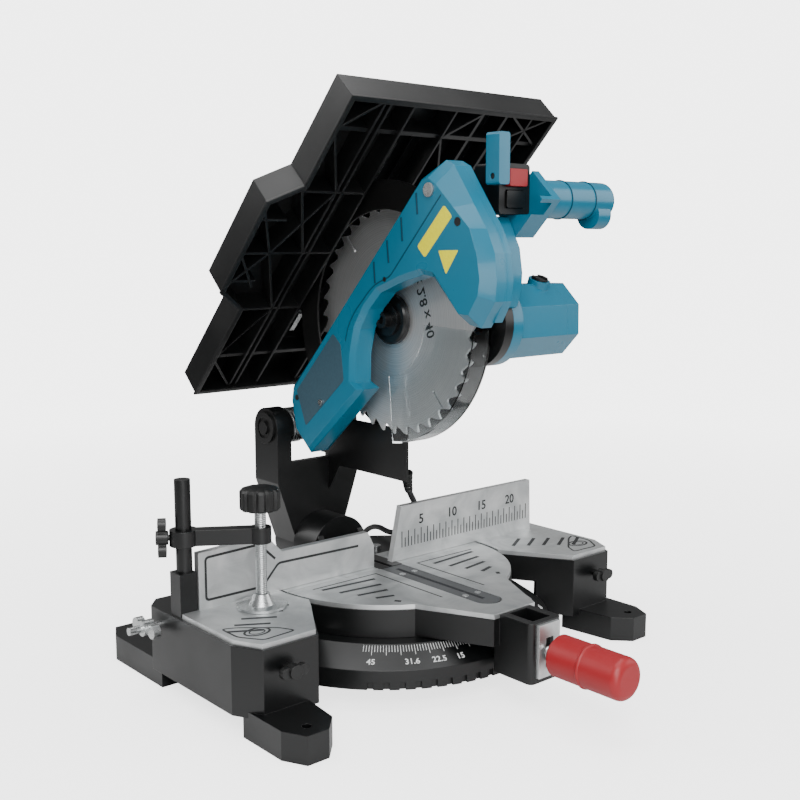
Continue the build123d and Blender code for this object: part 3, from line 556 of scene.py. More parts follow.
def turned(profile: Points, centre: Points, axis: int = 2, steps: int = 48) -> Shell:
    """Surface of revolution: the profile's radius and height carried round an axis.

    Args:
        profile: Radius and height pairs in order.
        centre: Point on the axis, in millimetres.
        axis: Number of the axis.
        steps: Points round the axis.

    Returns:
        Points and faces.
    """
    pairs = np.asarray(profile, float)
    angle = np.arange(steps) * TAU / steps
    space = np.zeros((len(pairs), steps, 3))
    first, second = [k for k in range(3) if k != axis]
    space[..., first] = pairs[:, :1] * np.cos(angle)
    space[..., second] = pairs[:, :1] * np.sin(angle)
    space[..., axis] = pairs[:, 1:]
    return loft(space + np.asarray(centre, float))


def carried(path: Points, profile: Points, up: Points = (0.0, 0.0, 1.0), closed: bool = False,
            scale: np.ndarray | None = None) -> Shell:
    """A profile carried along a path: across the path and along its upright, wider at corners by the mitre.

    Args:
        path: Points of the path.
        profile: Across and upright pairs in order round the section.
        up: Direction that the upright leans to.
        closed: Whether the path's end joins its start.
        scale: Size of the section at each point of the path.

    Returns:
        Points and faces.
    """
    line, section = np.asarray(path, float), np.asarray(profile, float)
    ahead = np.roll(line, -1, 0) - line
    behind = line - np.roll(line, 1, 0)
    if not closed:
        ahead[-1], behind[0] = behind[-1], ahead[0]
    ahead /= np.linalg.norm(ahead, axis=1, keepdims=True)
    behind /= np.linalg.norm(behind, axis=1, keepdims=True)
    way = ahead + behind
    way /= np.linalg.norm(way, axis=1, keepdims=True)
    mitre = 1 / np.maximum(0.4, np.sum(way * ahead, axis=1, keepdims=True))
    across = np.cross(way, np.asarray(up, float))
    across /= np.linalg.norm(across, axis=1, keepdims=True)
    upright = np.cross(across, way)
    size = np.ones(len(line)) if scale is None else scale
    wide = (across * mitre * size[:, None])[:, None] * section[None, :, :1]
    tall = (upright * size[:, None])[:, None] * section[None, :, 1:]
    return loft(line[:, None] + wide + tall, close=closed)


def circle(radius: float, steps: int = 12) -> np.ndarray:
    """Points of a circle."""
    angle = np.arange(steps) * TAU / steps
    return radius * np.stack([np.cos(angle), np.sin(angle)], axis=1)


def bar_section(width: float, low: float, high: float) -> np.ndarray:
    """Corners of a rectangular section."""
    half = width / 2
    return np.array([(-half, low), (half, low), (half, high), (-half, high)])


def strips(ends: Points, width: float, low: float, high: float, lie: Lie = Lie.FLAT) -> Shell:
    """Straight bars between pairs of flat points, each a lofted rectangle.

    Args:
        ends: Pairs of end points.
        width: Width of a bar.
        low: Level of its underside.
        high: Level of its top.
        lie: Plane of the points.

    Returns:
        Points and faces.
    """
    up = np.zeros(3)
    up[lie.value[2]] = 1.0
    shells = []
    for pair in ends:
        shells.append(carried(laid(np.array(pair, float), 0.0, lie), bar_section(width, low, high), up))
    return joined(shells)


def make(name: str, shell: Shell, finish: Finish, body: str | None, smooth: float = 32.0) -> bpy.types.Object:
    """Make a piece from a shell in millimetres, dress it and let it ride.

    Args:
        name: Name of the piece.
        shell: Points and faces.
        finish: Its finish.
        body: Body that it rides, or None to leave it unattached.
        smooth: Angle in degrees above which an edge stays sharp.

    Returns:
        The piece.
    """
    points, faces = shell
    mesh = bpy.data.meshes.new(name)
    mesh.from_pydata((points * MM).tolist(), [], faces)
    mesh.update()
    outwards(mesh)
    mesh.shade_smooth()
    mesh.set_sharp_from_angle(angle=math.radians(smooth))
    mesh.materials.append(finish.material())
    piece = bpy.data.objects.new(name, mesh)
    bpy.context.scene.collection.objects.link(piece)
    if body:
        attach(piece, body)
    LOG.info("piece %s: %d faces on %s", name, len(faces), body)
    return piece


def outwards(mesh: bpy.types.Mesh) -> None:
    """Point a mesh's faces outwards."""
    work = bmesh.new()
    work.from_mesh(mesh)
    bmesh.ops.recalc_face_normals(work, faces=work.faces)
    work.to_mesh(mesh)
    work.free()


def figures(text: str, size: float, place: Matrix, thick: float = 0.15) -> Shell:
    """Numbers as a thin solid: the font's outline given a thickness, then laid by a matrix in millimetres.

    Args:
        text: Digits to write.
        size: Height of the font.
        place: Where its centre goes, and how it is turned.
        thick: Half its thickness.

    Returns:
        Points and faces.
    """
    font = bpy.data.curves.new("figures", "FONT")
    font.body, font.size, font.extrude = text, size, thick
    font.offset = 0.014 * size
    font.align_x, font.align_y, font.resolution_u = "CENTER", "CENTER", 3
    holder = bpy.data.objects.new("figures", font)
    mesh = bpy.data.meshes.new_from_object(holder)
    mesh.transform(place)
    points = np.zeros(len(mesh.vertices) * 3)
    mesh.vertices.foreach_get("co", points)
    faces = [list(face.vertices) for face in mesh.polygons]
    bpy.data.objects.remove(holder)
    bpy.data.curves.remove(font)
    bpy.data.meshes.remove(mesh)
    return points.reshape(-1, 3), faces


def axes(right: Points, up: Points, at: Points) -> Matrix:
    """Matrix whose first axis is right, second is up and third points off the surface.

    Args:
        right: Direction of the first axis.
        up: Direction of the second axis.
        at: Place of the origin.

    Returns:
        The matrix.
    """
    first, second = Vector(right).normalized(), Vector(up).normalized()
    made = Matrix((first, second, first.cross(second))).transposed().to_4x4()
    made.translation = Vector(at)
    return made


def nurbs_line(points: np.ndarray) -> np.ndarray:
    """Smooth line of a route: points of one NURBS spline of order 3 with the route as its control points.

    Args:
        points: Route in millimetres.

    Returns:
        Points of the line in millimetres.
    """
    curve = bpy.data.curves.new("route", "CURVE")
    curve.dimensions, curve.resolution_u = "3D", 8
    spline = curve.splines.new("NURBS")
    spline.points.add(len(points) - 1)
    weighted = np.concatenate([points * MM, np.ones((len(points), 1))], axis=1)
    spline.points.foreach_set("co", weighted.ravel())
    spline.order_u = 3
    spline.use_endpoint_u = True
    holder = bpy.data.objects.new("route", curve)
    mesh = bpy.data.meshes.new_from_object(holder)
    line = np.zeros(len(mesh.vertices) * 3)
    mesh.vertices.foreach_get("co", line)
    bpy.data.objects.remove(holder)
    bpy.data.curves.remove(curve)
    bpy.data.meshes.remove(mesh)
    return line.reshape(-1, 3) / MM


# ------------------------------------------------------------------ studio
@dataclass
class Studio:
    """Camera, floor and lights.

    Args:
        eye: Camera's place in metres.
        pitch: Camera's tilt in degrees.
        heading: Camera's turn in degrees.
        lens: Focal length in millimetres on a 36 mm sensor.
        floor_reach: Radius of the floor in metres.
        near_glow: Light that the floor gives under the saw.
        far_glow: Light that it gives far out.
        room_glow: Brightness of the surround as seen.
        glow_from: Distance in metres at which the floor starts to brighten.
        glow_full: Distance at which it is as bright as far out.
    """

    eye: tuple[float, float, float] = (-0.7845, -0.9278, 0.4613)
    pitch: float = 81.75
    heading: float = -41.0
    lens: float = 49.23
    floor_reach: float = 40.0
    near_glow: float = 2.3
    far_glow: float = 4.6
    room_glow: float = 4.6
    glow_from: float = 0.35
    glow_full: float = 1.7

    def camera(self) -> None:
        """Place the camera."""
        data = bpy.data.cameras.new("camera")
        data.lens, data.sensor_width, data.clip_start = self.lens, 36.0, 0.01
        camera = bpy.data.objects.new("camera", data)
        camera.location = self.eye
        camera.rotation_euler = (math.radians(self.pitch), 0.0, math.radians(self.heading))
        bpy.context.scene.collection.objects.link(camera)
        bpy.context.scene.camera = camera

    def floor(self) -> None:
        """Lay the floor: one wide disc just under the feet, whose own light takes over from the lamps far out."""
        reach = self.floor_reach / MM
        shell = turned([(reach, -1.0), (reach, -0.05)], (0, 0, 0), steps=96)
        paint = Finish("matt_white_floor", Slot.PLATE, "#E4E4E4", roughness=0.95)
        piece = make("floor", shell, paint, None)
        tree = piece.data.materials[0].node_tree
        shader = next(node for node in tree.nodes if node.type == "BSDF_PRINCIPLED")
        place = add(tree, "ShaderNodeTexCoord").outputs["Object"]
        far = add(tree, "ShaderNodeVectorMath", {0: place}, operation="LENGTH").outputs[1]
        share = add(tree, "ShaderNodeMapRange", {"Value": far, 1: self.glow_from, 2: self.glow_full}).outputs[0]
        fade = add(tree, "ShaderNodeMix", {0: share, 6: linear("#E4E4E4"), 7: linear("#000000")}, data_type="RGBA")
        tree.links.new(fade.outputs[2], shader.inputs["Base Color"])
        glow = {"Value": share, 3: self.near_glow, 4: self.far_glow}
        shader.inputs["Emission Color"].default_value = linear("#FDFDFD")
        spread = add(tree, "ShaderNodeMapRange", glow).outputs[0]
        direct = add(tree, "ShaderNodeLightPath").outputs["Is Camera Ray"]
        seen = add(tree, "ShaderNodeMath", {0: spread, 1: direct}, operation="MULTIPLY").outputs[0]
        tree.links.new(seen, shader.inputs["Emission Strength"])

    def lamp(self, name: str, place: Points, power: float, size: float) -> None:
        """Hang one square soft light that looks at the saw.

        Args:
            name: Name of the light.
            place: Its place in metres.
            power: Its power in watts.
            size: Length of its side in metres.
        """
        data = bpy.data.lights.new(name, "AREA")
        data.energy, data.size = power, size
        lamp = bpy.data.objects.new(name, data)
        lamp.location = place
        lamp.rotation_euler = (Vector((0, 0, 0.25)) - Vector(place)).to_track_quat("-Z", "Y").to_euler()
        bpy.context.scene.collection.objects.link(lamp)

    def lights(self) -> None:
        """Hang a key, a fill, a top and a rim light, and set the pale surround."""
        self.lamp("key", (-1.6, -1.9, 2.2), 84.0, 1.6)
        self.lamp("low_front", (-0.9, -2.2, 0.55), 26.0, 1.2)
        self.lamp("fill", (1.9, -1.5, 1.2), 26.0, 1.8)
        self.lamp("top", (0.1, 0.2, 2.6), 60.0, 2.2)
        self.lamp("rim", (-1.5, 1.7, 1.5), 22.0, 1.4)
        world = bpy.data.worlds.new("pale_room")
        bpy.context.scene.world = world
        world.use_nodes = True
        tree = world.node_tree
        tree.nodes.clear()
        soft = add(tree, "ShaderNodeBackground", {"Color": linear("#F4F4F4"), "Strength": 0.28})
        seen = add(tree, "ShaderNodeBackground", {"Color": linear("#FDFDFD"), "Strength": self.room_glow})
        direct = add(tree, "ShaderNodeLightPath").outputs["Is Camera Ray"]
        both = add(tree, "ShaderNodeMixShader", {0: direct, 1: soft.outputs[0], 2: seen.outputs[0]})
        add(tree, "ShaderNodeOutputWorld", {"Surface": both.outputs[0]})


# ------------------------------------------------------------------ mains lead
@dataclass
class MainsLead:
    """Two-core lead from the guard's clip, down behind the fence to a tied coil and its plug."""

    radius: float = 3.5
    upper: tuple = ((22, -12.4, 201.5), (26, -8, 185), (40, 2, 170), (56, 13, 157), (69, 26, 143), (76, 42, 129),
                    (78, 56, 116))
    lower: tuple = ((78, 56, 116), (80, 75, 102), (86, 98, 98), (92, 122, 99), (97, 145, 93), (100, 165, 79),
                    (103, 186, 62), (107, 208, 42), (111, 228, 22), (113, 250, 8))
    centre: tuple[float, float] = (150.0, 304.0)
    radii: tuple = (46.0, 39.0, 32.0)
    layers: tuple = (4.0, 11.0)
    per_turn: int = 16
    first_angle: float = 217.0
    tail: tuple = ((166, 346, 9), (186, 341, 8.5), (206, 330, 9), (220, 311, 11), (225.6, 295, 13), (226, 285, 13))

    def coil(self) -> np.ndarray:
        """Turns of the coil: the angle falls steadily, and radius and level step over in each turn's last fifth."""
        turns = 2 * len(self.radii) - 0.62
        t = np.arange(int(turns * self.per_turn) + 1) / self.per_turn
        steps = np.array([*self.radii, *self.radii[::-1], self.radii[0]])
        levels = np.repeat(np.array([*self.layers, self.layers[-1]]), 3)[: len(steps)]
        whole = np.minimum(t.astype(int), len(steps) - 2)
        ease = np.clip((t - whole - 0.8) / 0.2, 0, 1)
        radius = steps[whole] + ease * (steps[whole + 1] - steps[whole])
        level = levels[whole] + ease * (levels[whole + 1] - levels[whole])
        angle = math.radians(self.first_angle) - TAU * t
        x, y = self.centre[0] + radius * np.cos(angle), self.centre[1] + radius * np.sin(angle)
        return np.stack([x, y, level], axis=1)

    def build(self) -> None:
        top = nurbs_line(np.array(self.upper, float))
        route = np.concatenate([np.array(self.lower, float), self.coil(), np.array(self.tail, float)])
        main = nurbs_line(route)
        upper = make("lead_upper_run", carried(top, circle(self.radius), (0.7, -0.7, 0.1)), RUBBER, None)
        lower = make("lead_main_run", carried(main, circle(self.radius)), RUBBER, None)
        relief_line, relief_sizes = self.relief(top)
        relief = make("lead_strain_relief", carried(relief_line, circle(1.0, 16), (0.7, -0.7, 0.1), scale=relief_sizes),
                      BLACK, None)
        for piece in (upper, relief):
            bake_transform(piece)
        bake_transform(lower)
        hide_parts("cord_upper")
        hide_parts("cord_lead", "cord_coil")
        pieces = self.plug() + [self.tie()]

    def relief(self, line: np.ndarray) -> tuple[np.ndarray, np.ndarray]:
        """First 30 mm of the lead with a radius that tapers, in waves like moulded ribs.

        Args:
            line: Middle line of the lead.

        Returns:
            Points of the relief's middle line and its radius at each.
        """
        run = np.concatenate([[0.0], np.cumsum(np.linalg.norm(np.diff(line, axis=0), axis=1))])
        at = np.linspace(0.0, 30.0, 61)
        points = np.stack([np.interp(at, run, line[:, k]) for k in range(3)], axis=1)
        return points, 6.4 - 2.2 * at / 30 + 0.45 * np.sign(np.sin(at * TAU / 6)) * (at < 27)

    def tie(self) -> bpy.types.Object:
        """Make the strap round the coil: a rounded loop about its section, at the side away from the lead."""
        loop = rounded([(99.3, 0.9), (124.0, 0.9), (124.0, 16.4), (99.3, 16.4)], 5.0)
        return make("lead_tie", carried(laid(loop, self.centre[1] + 4, Lie.FACING_FRONT), bar_section(1.2, -5, 5),
                                        (0, 1, 0), closed=True), BLACK, "base")

    def plug(self) -> list[bpy.types.Object]:
        """Make the moulded plug, its sleeve and its two pins."""
        t = np.array([0.0, 0.03, 0.12, 0.45, 0.75, 0.92, 1.0])
        half_wide = np.array([13.5, 15.4, 16.0, 15.6, 12.6, 9.0, 7.4])
        half_tall = np.array([9.5, 11.4, 12.4, 12.2, 10.6, 8.0, 7.0])
        angle = np.arange(32) * TAU / 32
        squared = lambda a: np.sign(a) * np.abs(a) ** 0.6
        x = 226 + half_wide[:, None] * squared(np.cos(angle))
        z = 13 + half_tall[:, None] * squared(np.sin(angle))
        y = np.broadcast_to((245 + 40 * t)[:, None], x.shape)
        body = make("plug_body", loft(np.stack([x, y, z], axis=-1)), BLACK, "base", 50)
        ribs = 5.6 - 1.4 * np.linspace(0, 1, 25) + 0.4 * np.sign(np.sin(np.linspace(0, 4, 25) * TAU))
        line = np.linspace((226.0, 283.0, 13.0), (225.6, 303.0, 12.2), 25)
        sleeve = make("plug_sleeve", carried(line, circle(1.0, 16), scale=ribs), BLACK, "base")
        pin = [(2.35, 245.5), (2.35, 242), (2.35, 229), (1.6, 226.5), (0.4, 226.1)]
        pins = [turned(pin, (x0, 0, 13), axis=1, steps=20) for x0 in (216.5, 235.5)]
        metal = make("plug_pins", joined(pins), ZINC, "base")
        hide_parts("plug")
        return [body, sleeve, metal]


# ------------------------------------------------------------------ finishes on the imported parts
@dataclass
class PackedParts:
    """Dresses every carried-over part in the finish of its slot, with a few of its own."""

    def build(self) -> None:
        """Put each part's finish in its material slots."""
        by_slot = {Slot.CAST: CAST, Slot.PLATE: PLATE, Slot.STEEL: ZINC, Slot.BLADE: BLADE, Slot.TEAL: TEAL,
                   Slot.BLACK: BLACK, Slot.RED: RED, Slot.CLEAR: CLEAR, Slot.RUBBER: RUBBER, Slot.COPPER: COPPER}
        own = {"left_fence": FENCE, "right_fence": FENCE, "kerf_insert": GREY, "upper_table": SATIN,
               "base_casting": CAST,
               "table_insert": DARK_PLATE, "blade_flanges": DARK_GLOSS, "arbor_bolt": DARK_GLOSS}
        slots = {part["node"]: part["material_slot"] for part in frame["record"]["subparts"]}
        for name, node in frame["nodes"].items():
            finish = own.get(name) or by_slot[Slot(slots[name])]
            for place in node.material_slots:
                place.material = finish.material()
            if not node.material_slots:
                node.data.materials.append(finish.material())
            LOG.info("part %s: %s", name, finish.name)


# ------------------------------------------------------------------ fences
@dataclass
class Fences:
    """Ruler on the right fence and the painted outline on the left one."""

    face_y: float = 0.0
    tick_low: float = 110.0
    offset: float = 5.0

    def build(self) -> None:
        """Make the ruler's ticks and figures, and the outline."""
        lie, depth = Lie.FACING_FRONT, (self.face_y - 0.12, self.face_y + 0.1)
        tick = np.arange(4, 47)
        high = np.where(tick % 2 == 0, 19.0, 11.0)
        ends = [((t * 5 + self.offset, self.tick_low), (t * 5 + self.offset, self.tick_low + h))
                for t, h in zip(tick.tolist(), high.tolist())]
        shells = [strips(ends, 1.3, -depth[1], -depth[0], lie)]
        shells += [figures(str(cm), 16.0, axes((1, 0, 0), (0, 0, 1), (cm * 10 + self.offset, -0.05, 139)))
                   for cm in (5, 10, 15, 20)]
        make("right_fence_ruler", joined(shells), BLACK_INK, "base")
        outline = [(-40, 124), (-148, 125.5), (-168, 104), (-236, 104), (-236, 148), (-172, 150), (-152, 131)]
        line = rounded(outline, 4.0, closed=False)
        shell = carried(laid(line, -0.02, lie), bar_section(2.6, -0.1, 0.1), (0, -1, 0))
        make("left_fence_outline", shell, BLACK_INK, "base")


@dataclass
class TablePlates:
    """Painted grooves on the two side plates and on the turntable's plate."""

    top: float = 95.0

    def side_marks(self, way: int) -> Shell:
        """Slanted bars, the hexagon and the blank oval of one side plate.

        Args:
            way: Minus one for the left plate, one for the right.

        Returns:
            Points and faces.
        """
        level = (self.top - 0.02, self.top + 0.12)
        ends = [((way * (166 + 15 * k), -44 - 11 * k), (way * (196 + 15 * k), -26 - 11 * k)) for k in range(5)]
        shells = [strips(ends, 4.2, *level)]
        hexagon = rounded([(204, -108), (241, -110), (256, -88), (256, -60), (243, -66), (212, -92)], 5.0) * (way, 1)
        shells.append(carried(laid(hexagon, self.top, Lie.FLAT), bar_section(2.2, -0.02, 0.12), closed=True))
        for size, width in ((1.0, 2.4), (0.62, 1.4)):
            oval = circle(size, 40) * (13.0, 9.0) + (way * 234, -88)
            shells.append(carried(laid(oval, self.top, Lie.FLAT), bar_section(width, -0.02, 0.14), closed=True))
        return joined(shells)

    def turn_marks(self) -> Shell:
        """Slanted bars on both halves of the turntable's plate, with a border line along two sides."""
        level = (self.top - 0.35, self.top - 0.18)
        shells = []
        for way in (-1, 1):
            ends = [((way * (44 + 7 * k), -34 - 19 * k), (way * (112 - 9 * k), -28 - 19 * k)) for k in range(5)]
            shells.append(strips(ends, 4.6, *level))
            border = [(way * 31, -128), (way * 31, -20), (way * 118, -20)]
            shells.append(carried(laid(np.array(border, float), self.top - 0.3, Lie.FLAT),
                                  bar_section(1.8, -0.05, 0.12)))
        return joined(shells)

    def build(self) -> None:
        """Make the marks."""
        make("side_plate_marks", joined([self.side_marks(-1), self.side_marks(1)]), BLACK_INK, "base")
        make("turntable_marks", self.turn_marks(), BLACK_INK, "turntable")


@dataclass
class MitreScale:
    """Degree scale on the base ring's sloping land, and the pointer's mark."""

    inner: float = 160.0
    outer: float = 186.0
    top: float = 60.0
    low: float = 42.0

    def spot(self, degrees: float, share: float) -> np.ndarray:
        """Point on the cone: the angle from the front and the share of the way outwards.

        Args:
            degrees: Angle from the front.
            share: Share of the way from the inner edge to the outer.

        Returns:
            The point.
        """
        angle = math.radians(degrees)
        radius = self.inner + share * (self.outer - self.inner)
        height = self.top + share * (self.low - self.top)
        return np.array([radius * math.sin(angle), -radius * math.cos(angle), height])

    def build(self) -> None:
        """Make a tick each degree, longer at fives, and the figures."""
        shells = []
        slope = math.atan2(self.top - self.low, self.outer - self.inner)
        for degree in range(-48, 49):
            long = 0.42 if degree % 5 == 0 else 0.3
            ends = np.stack([self.spot(degree, 0.06), self.spot(degree, long)])
            way = math.radians(degree)
            up = np.array([math.sin(way) * math.sin(slope), -math.cos(way) * math.sin(slope), math.cos(slope)])
            shells.append(carried(ends, bar_section(0.55, -0.05, 0.12), up))
        for value in (0, 15, 22.5, 31.6, 45):
            for sign in (-1, 1) if value else (1,):
                at = self.spot(sign * value, 0.68)
                way = math.radians(sign * value)
                right = (math.cos(way), math.sin(way), 0.0)
                inwards = (-math.sin(way) * math.cos(slope), math.cos(way) * math.cos(slope), math.sin(slope))
                shells.append(figures(f"{value:g}", 9.0, axes(right, inwards, at)))
        make("mitre_scale", joined(shells), WHITE_INK, "base")


# ------------------------------------------------------------------ head
def on_head(shell: Shell) -> Shell:
    """Raise a shell that was laid out with the head lowered."""
    return raised(shell[0]), shell[1]


@dataclass
class BladeCover:
    """Left cover: a strip beside the blade and a nose that wraps round in front of it, with its marks.

    Args:
        strip_in: Level of the strip's inner side.
        face: Level of the outer face.
        nose_right: Level of the nose's right side.
    """

    strip_in: float = -14.0
    face: float = -44.0
    nose_right: float = 34.0
    edge: tuple = ((124, 180), (126, 216), (106, 246), (92, 256), (-240, 256), (-258, 250), (-262, 238), (-254, 192),
                   (-249, 162), (-240, 138), (-224, 118), (-208, 105), (-176, 100), (-167, 113), (-172, 174),
                   (-163, 186), (-136, 203), (-102, 220), (-75, 222), (-48, 217), (-23, 203), (0, 182), (-6, 167))
    flat: tuple = ((118, 184), (120, 214), (102, 242), (90, 250), (-232, 250), (-239, 245), (-242, 232), (-243, 198),
                   (-244, 168), (-233, 143), (-219, 124), (-206, 115), (-184, 111), (-175, 121), (-178, 175),
                   (-167, 191), (-138, 209), (-103, 226), (-75, 228), (-46, 223), (-19, 208), (4, 188), (1, 173))
    inner: tuple = ((124, 180), (126, 216), (106, 246), (92, 256), (-240, 256), (-258, 250), (-262, 238), (-254, 192),
                    (-249, 162), (-240, 138), (-224, 118), (-208, 105), (-176, 100), (-167, 113), (-166, 178),
                    (-151, 194), (-126, 218), (-89, 235), (-68, 238), (-44, 233), (-16, 220), (10, 198), (2, 172))
    nose: tuple = ((-198, 256), (-240, 256), (-258, 250), (-262, 238), (-254, 192), (-249, 162), (-240, 138),
                   (-224, 118), (-208, 105), (-184, 99), (-172, 110), (-180, 136), (-196, 168), (-204.5, 216),
                   (-200, 244))
    ridge: tuple = ((-202, 240), (-224, 244), (-236, 240), (-238, 228), (-221.5, 210.5), (-237, 192), (-226, 159),
                    (-211, 139), (-198, 128), (-182, 120), (-174, 124), (-182, 140), (-197, 170), (-204.5, 214),
                    (-203, 230))
    first_nose: int = 4
    last_nose: int = 13

    def shell(self) -> Shell:
        """Loft the strip through its flat, its outer edge and its inner edge, then the nose across the blade."""
        number = np.arange(len(self.edge))
        on_nose = (number >= self.first_nose) & (number <= self.last_nose)
        edge = np.array(self.edge, float)
        levels = (self.face, np.where(on_nose, self.face + 16, self.face + 5), self.strip_in - 4, self.strip_in)
        outlines = (np.array(self.flat, float), edge, edge, np.array(self.inner, float))
        strip = loft(np.stack([laid(line, level, Lie.FACING_SIDE) for line, level in zip(outlines, levels)]))
        nose, ridge = np.array(self.nose, float), np.array(self.ridge, float)
        inside = inset(nose, 0.4)
        rings = ((inside, self.strip_in - 2), (nose, self.strip_in), (nose, -5.0), (ridge, 7.0),
                 (ridge, self.nose_right - 0.5))
        wrap = loft(np.stack([laid(line, level, Lie.FACING_SIDE) for line, level in rings]))
        return on_head(joined([strip, wrap]))

    def mark(self, outline: Points, finish: Finish, name: str, radius: float = 3.0) -> None:
        """Lay a thin film on the outer face.

        Args:
            outline: The film's corners, lowered y and z.
            finish: Its finish.
            name: Name of the piece.
            radius: How far its corners are rounded.
        """
        film = slab(rounded(outline, radius), self.face - 0.35, self.face + 0.2, Lie.FACING_SIDE, 0.1)
        make(name, on_head(film), finish, "head")

    def grooves(self) -> Shell:
        """Slanted grooves of the top land and the line that steps down round the arch."""
        ends = [((-217, 247), (-203, 231)), ((-184, 247), (-168, 229)), ((-152, 247), (-137, 229)),
                ((-121, 247), (-106, 230))]
        bars = strips(ends, 2.6, self.face - 0.25, self.face + 0.2, Lie.FACING_SIDE)
        bend = rounded([(-240, 219), (-128, 218), (-108, 228), (-96, 231), (-60, 233), (-40, 230), (-24, 222)], 6,
                       closed=False)
        line = carried(laid(bend, self.face, Lie.FACING_SIDE), bar_section(1.3, -0.2, 0.25), (-1, 0, 0))
        return on_head(joined([bars, line]))

    def screw_hole(self, y: float, z: float, radius: float) -> Shell:
        """Painted shade: the dark well of a sunk screw, drawn as a shallow dish.

        Args:
            y: Place of its middle with the head lowered.
            z: Height of its middle with the head lowered.
            radius: Radius of its rim.

        Returns:
            Points and faces.
        """
        dish = [(radius, -0.3), (radius, 0.3), (radius * 0.72, 0.3), (radius * 0.7, -0.1), (radius * 0.2, -0.12)]
        return on_head(turned(dish, (self.face, y, z), axis=0, steps=28))

    def build(self) -> None:
        """Make the cover, its blank label films, its grooves and the painted shade of its screw wells."""
        cover = make("blade_cover_shell", self.shell(), TEAL, "head", 14)
        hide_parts("blade_cover")
        self.mark([(-14, 243), (-15, 225), (10, 194), (103, 204), (86, 244)], PANEL, "cover_blank_panel")
        self.mark([(-236, 209), (-236, 193), (-180, 193), (-180, 209)], YELLOW, "cover_blank_label")
        self.mark([(-199, 184), (-219, 164), (-190, 160)], YELLOW, "cover_blank_triangle", 2.0)
        # Painted shade: the grooves are thin bars in the darker nylon that stands for their shade.
        make("cover_grooves", self.grooves(), TEAL_GROOVE_SHADE, "head")
        # Painted shade: dark dishes stand for the shade deep in the screw wells.
        wells = [self.screw_hole(-237.5, 184, 4.4), self.screw_hole(92, 238, 3.4), self.screw_hole(-120, 222, 2.6)]
        make("cover_screw_well_shade", joined(wells), BLACK, "head")


@dataclass
class TableRibs:
    """Casting ribs below the upper table: long ribs, cross ribs and slanted braces between them.

    Args:
        low: Level of the ribs' lower edge with the head lowered.
        high: Level just inside the table's skin.
        thick: Thickness of a rib.
    """

    low: float = 320.0
    high: float = 344.6
    thick: float = 2.6
    rows: tuple = (-230.0, -150.0, -62.0, 26.0, 110.0)
    left: tuple = (-112.0, -68.0, -29.0)
    right: tuple = (30.0, 74.0, 110.0, 176.0)

    def ends(self) -> list:
        """Pairs of end points of every rib."""
        lines = [((x, -270), (x, 166)) for x in (-68, -60, -29, 30, 145)]
        lines += [((-112, y), (-29, y)) for y in self.rows[1:4]] + [((30, y), (176, y)) for y in self.rows[1:4]]
        lines += [((-148, y), (-112, y)) for y in (-110, -62, -20)]
        lines += [((-148, -128), (-112, -62)), ((-148, -62), (-112, -10)), ((-148, -10), (-112, -62))]
        stops = (-270.0, *self.rows, 166.0)
        for columns in (self.left, self.right):
            for left, right in zip(columns[:-1:2], columns[1::2]):
                for number, (front, back) in enumerate(zip(stops[:-1], stops[1:])):
                    lines.append(((left, front), (right, back)) if number % 2 else ((right, front), (left, back)))
        lines += [((-112, -150), (-68, -62)), ((-112, 110), (-68, 26)), ((110, -150), (176, -62)),
                  ((30, 166), (74, 110)), ((110, -270), (176, -230))]
        return lines

    def build(self) -> None:
        """Make the ribs and the lip round the skirt's open edge."""
        ribs = strips(self.ends(), self.thick, self.low, self.high)
        make("upper_table_ribs", on_head(ribs), SATIN, "upper_table")
        rim = [(-113.4, 167.4), (176.4, 167.4), (176.4, -271.4), (-113.4, -271.4), (-113.4, -159), (-149.4, -136),
               (-149.4, -6.8), (-113.4, 22.3)]
        lip = carried(laid(np.array(rim), self.low - 3.4, Lie.FLAT), bar_section(6.0, -0.4, 2.0), closed=True)
        make("upper_table_lip", on_head(lip), SATIN, "upper_table")


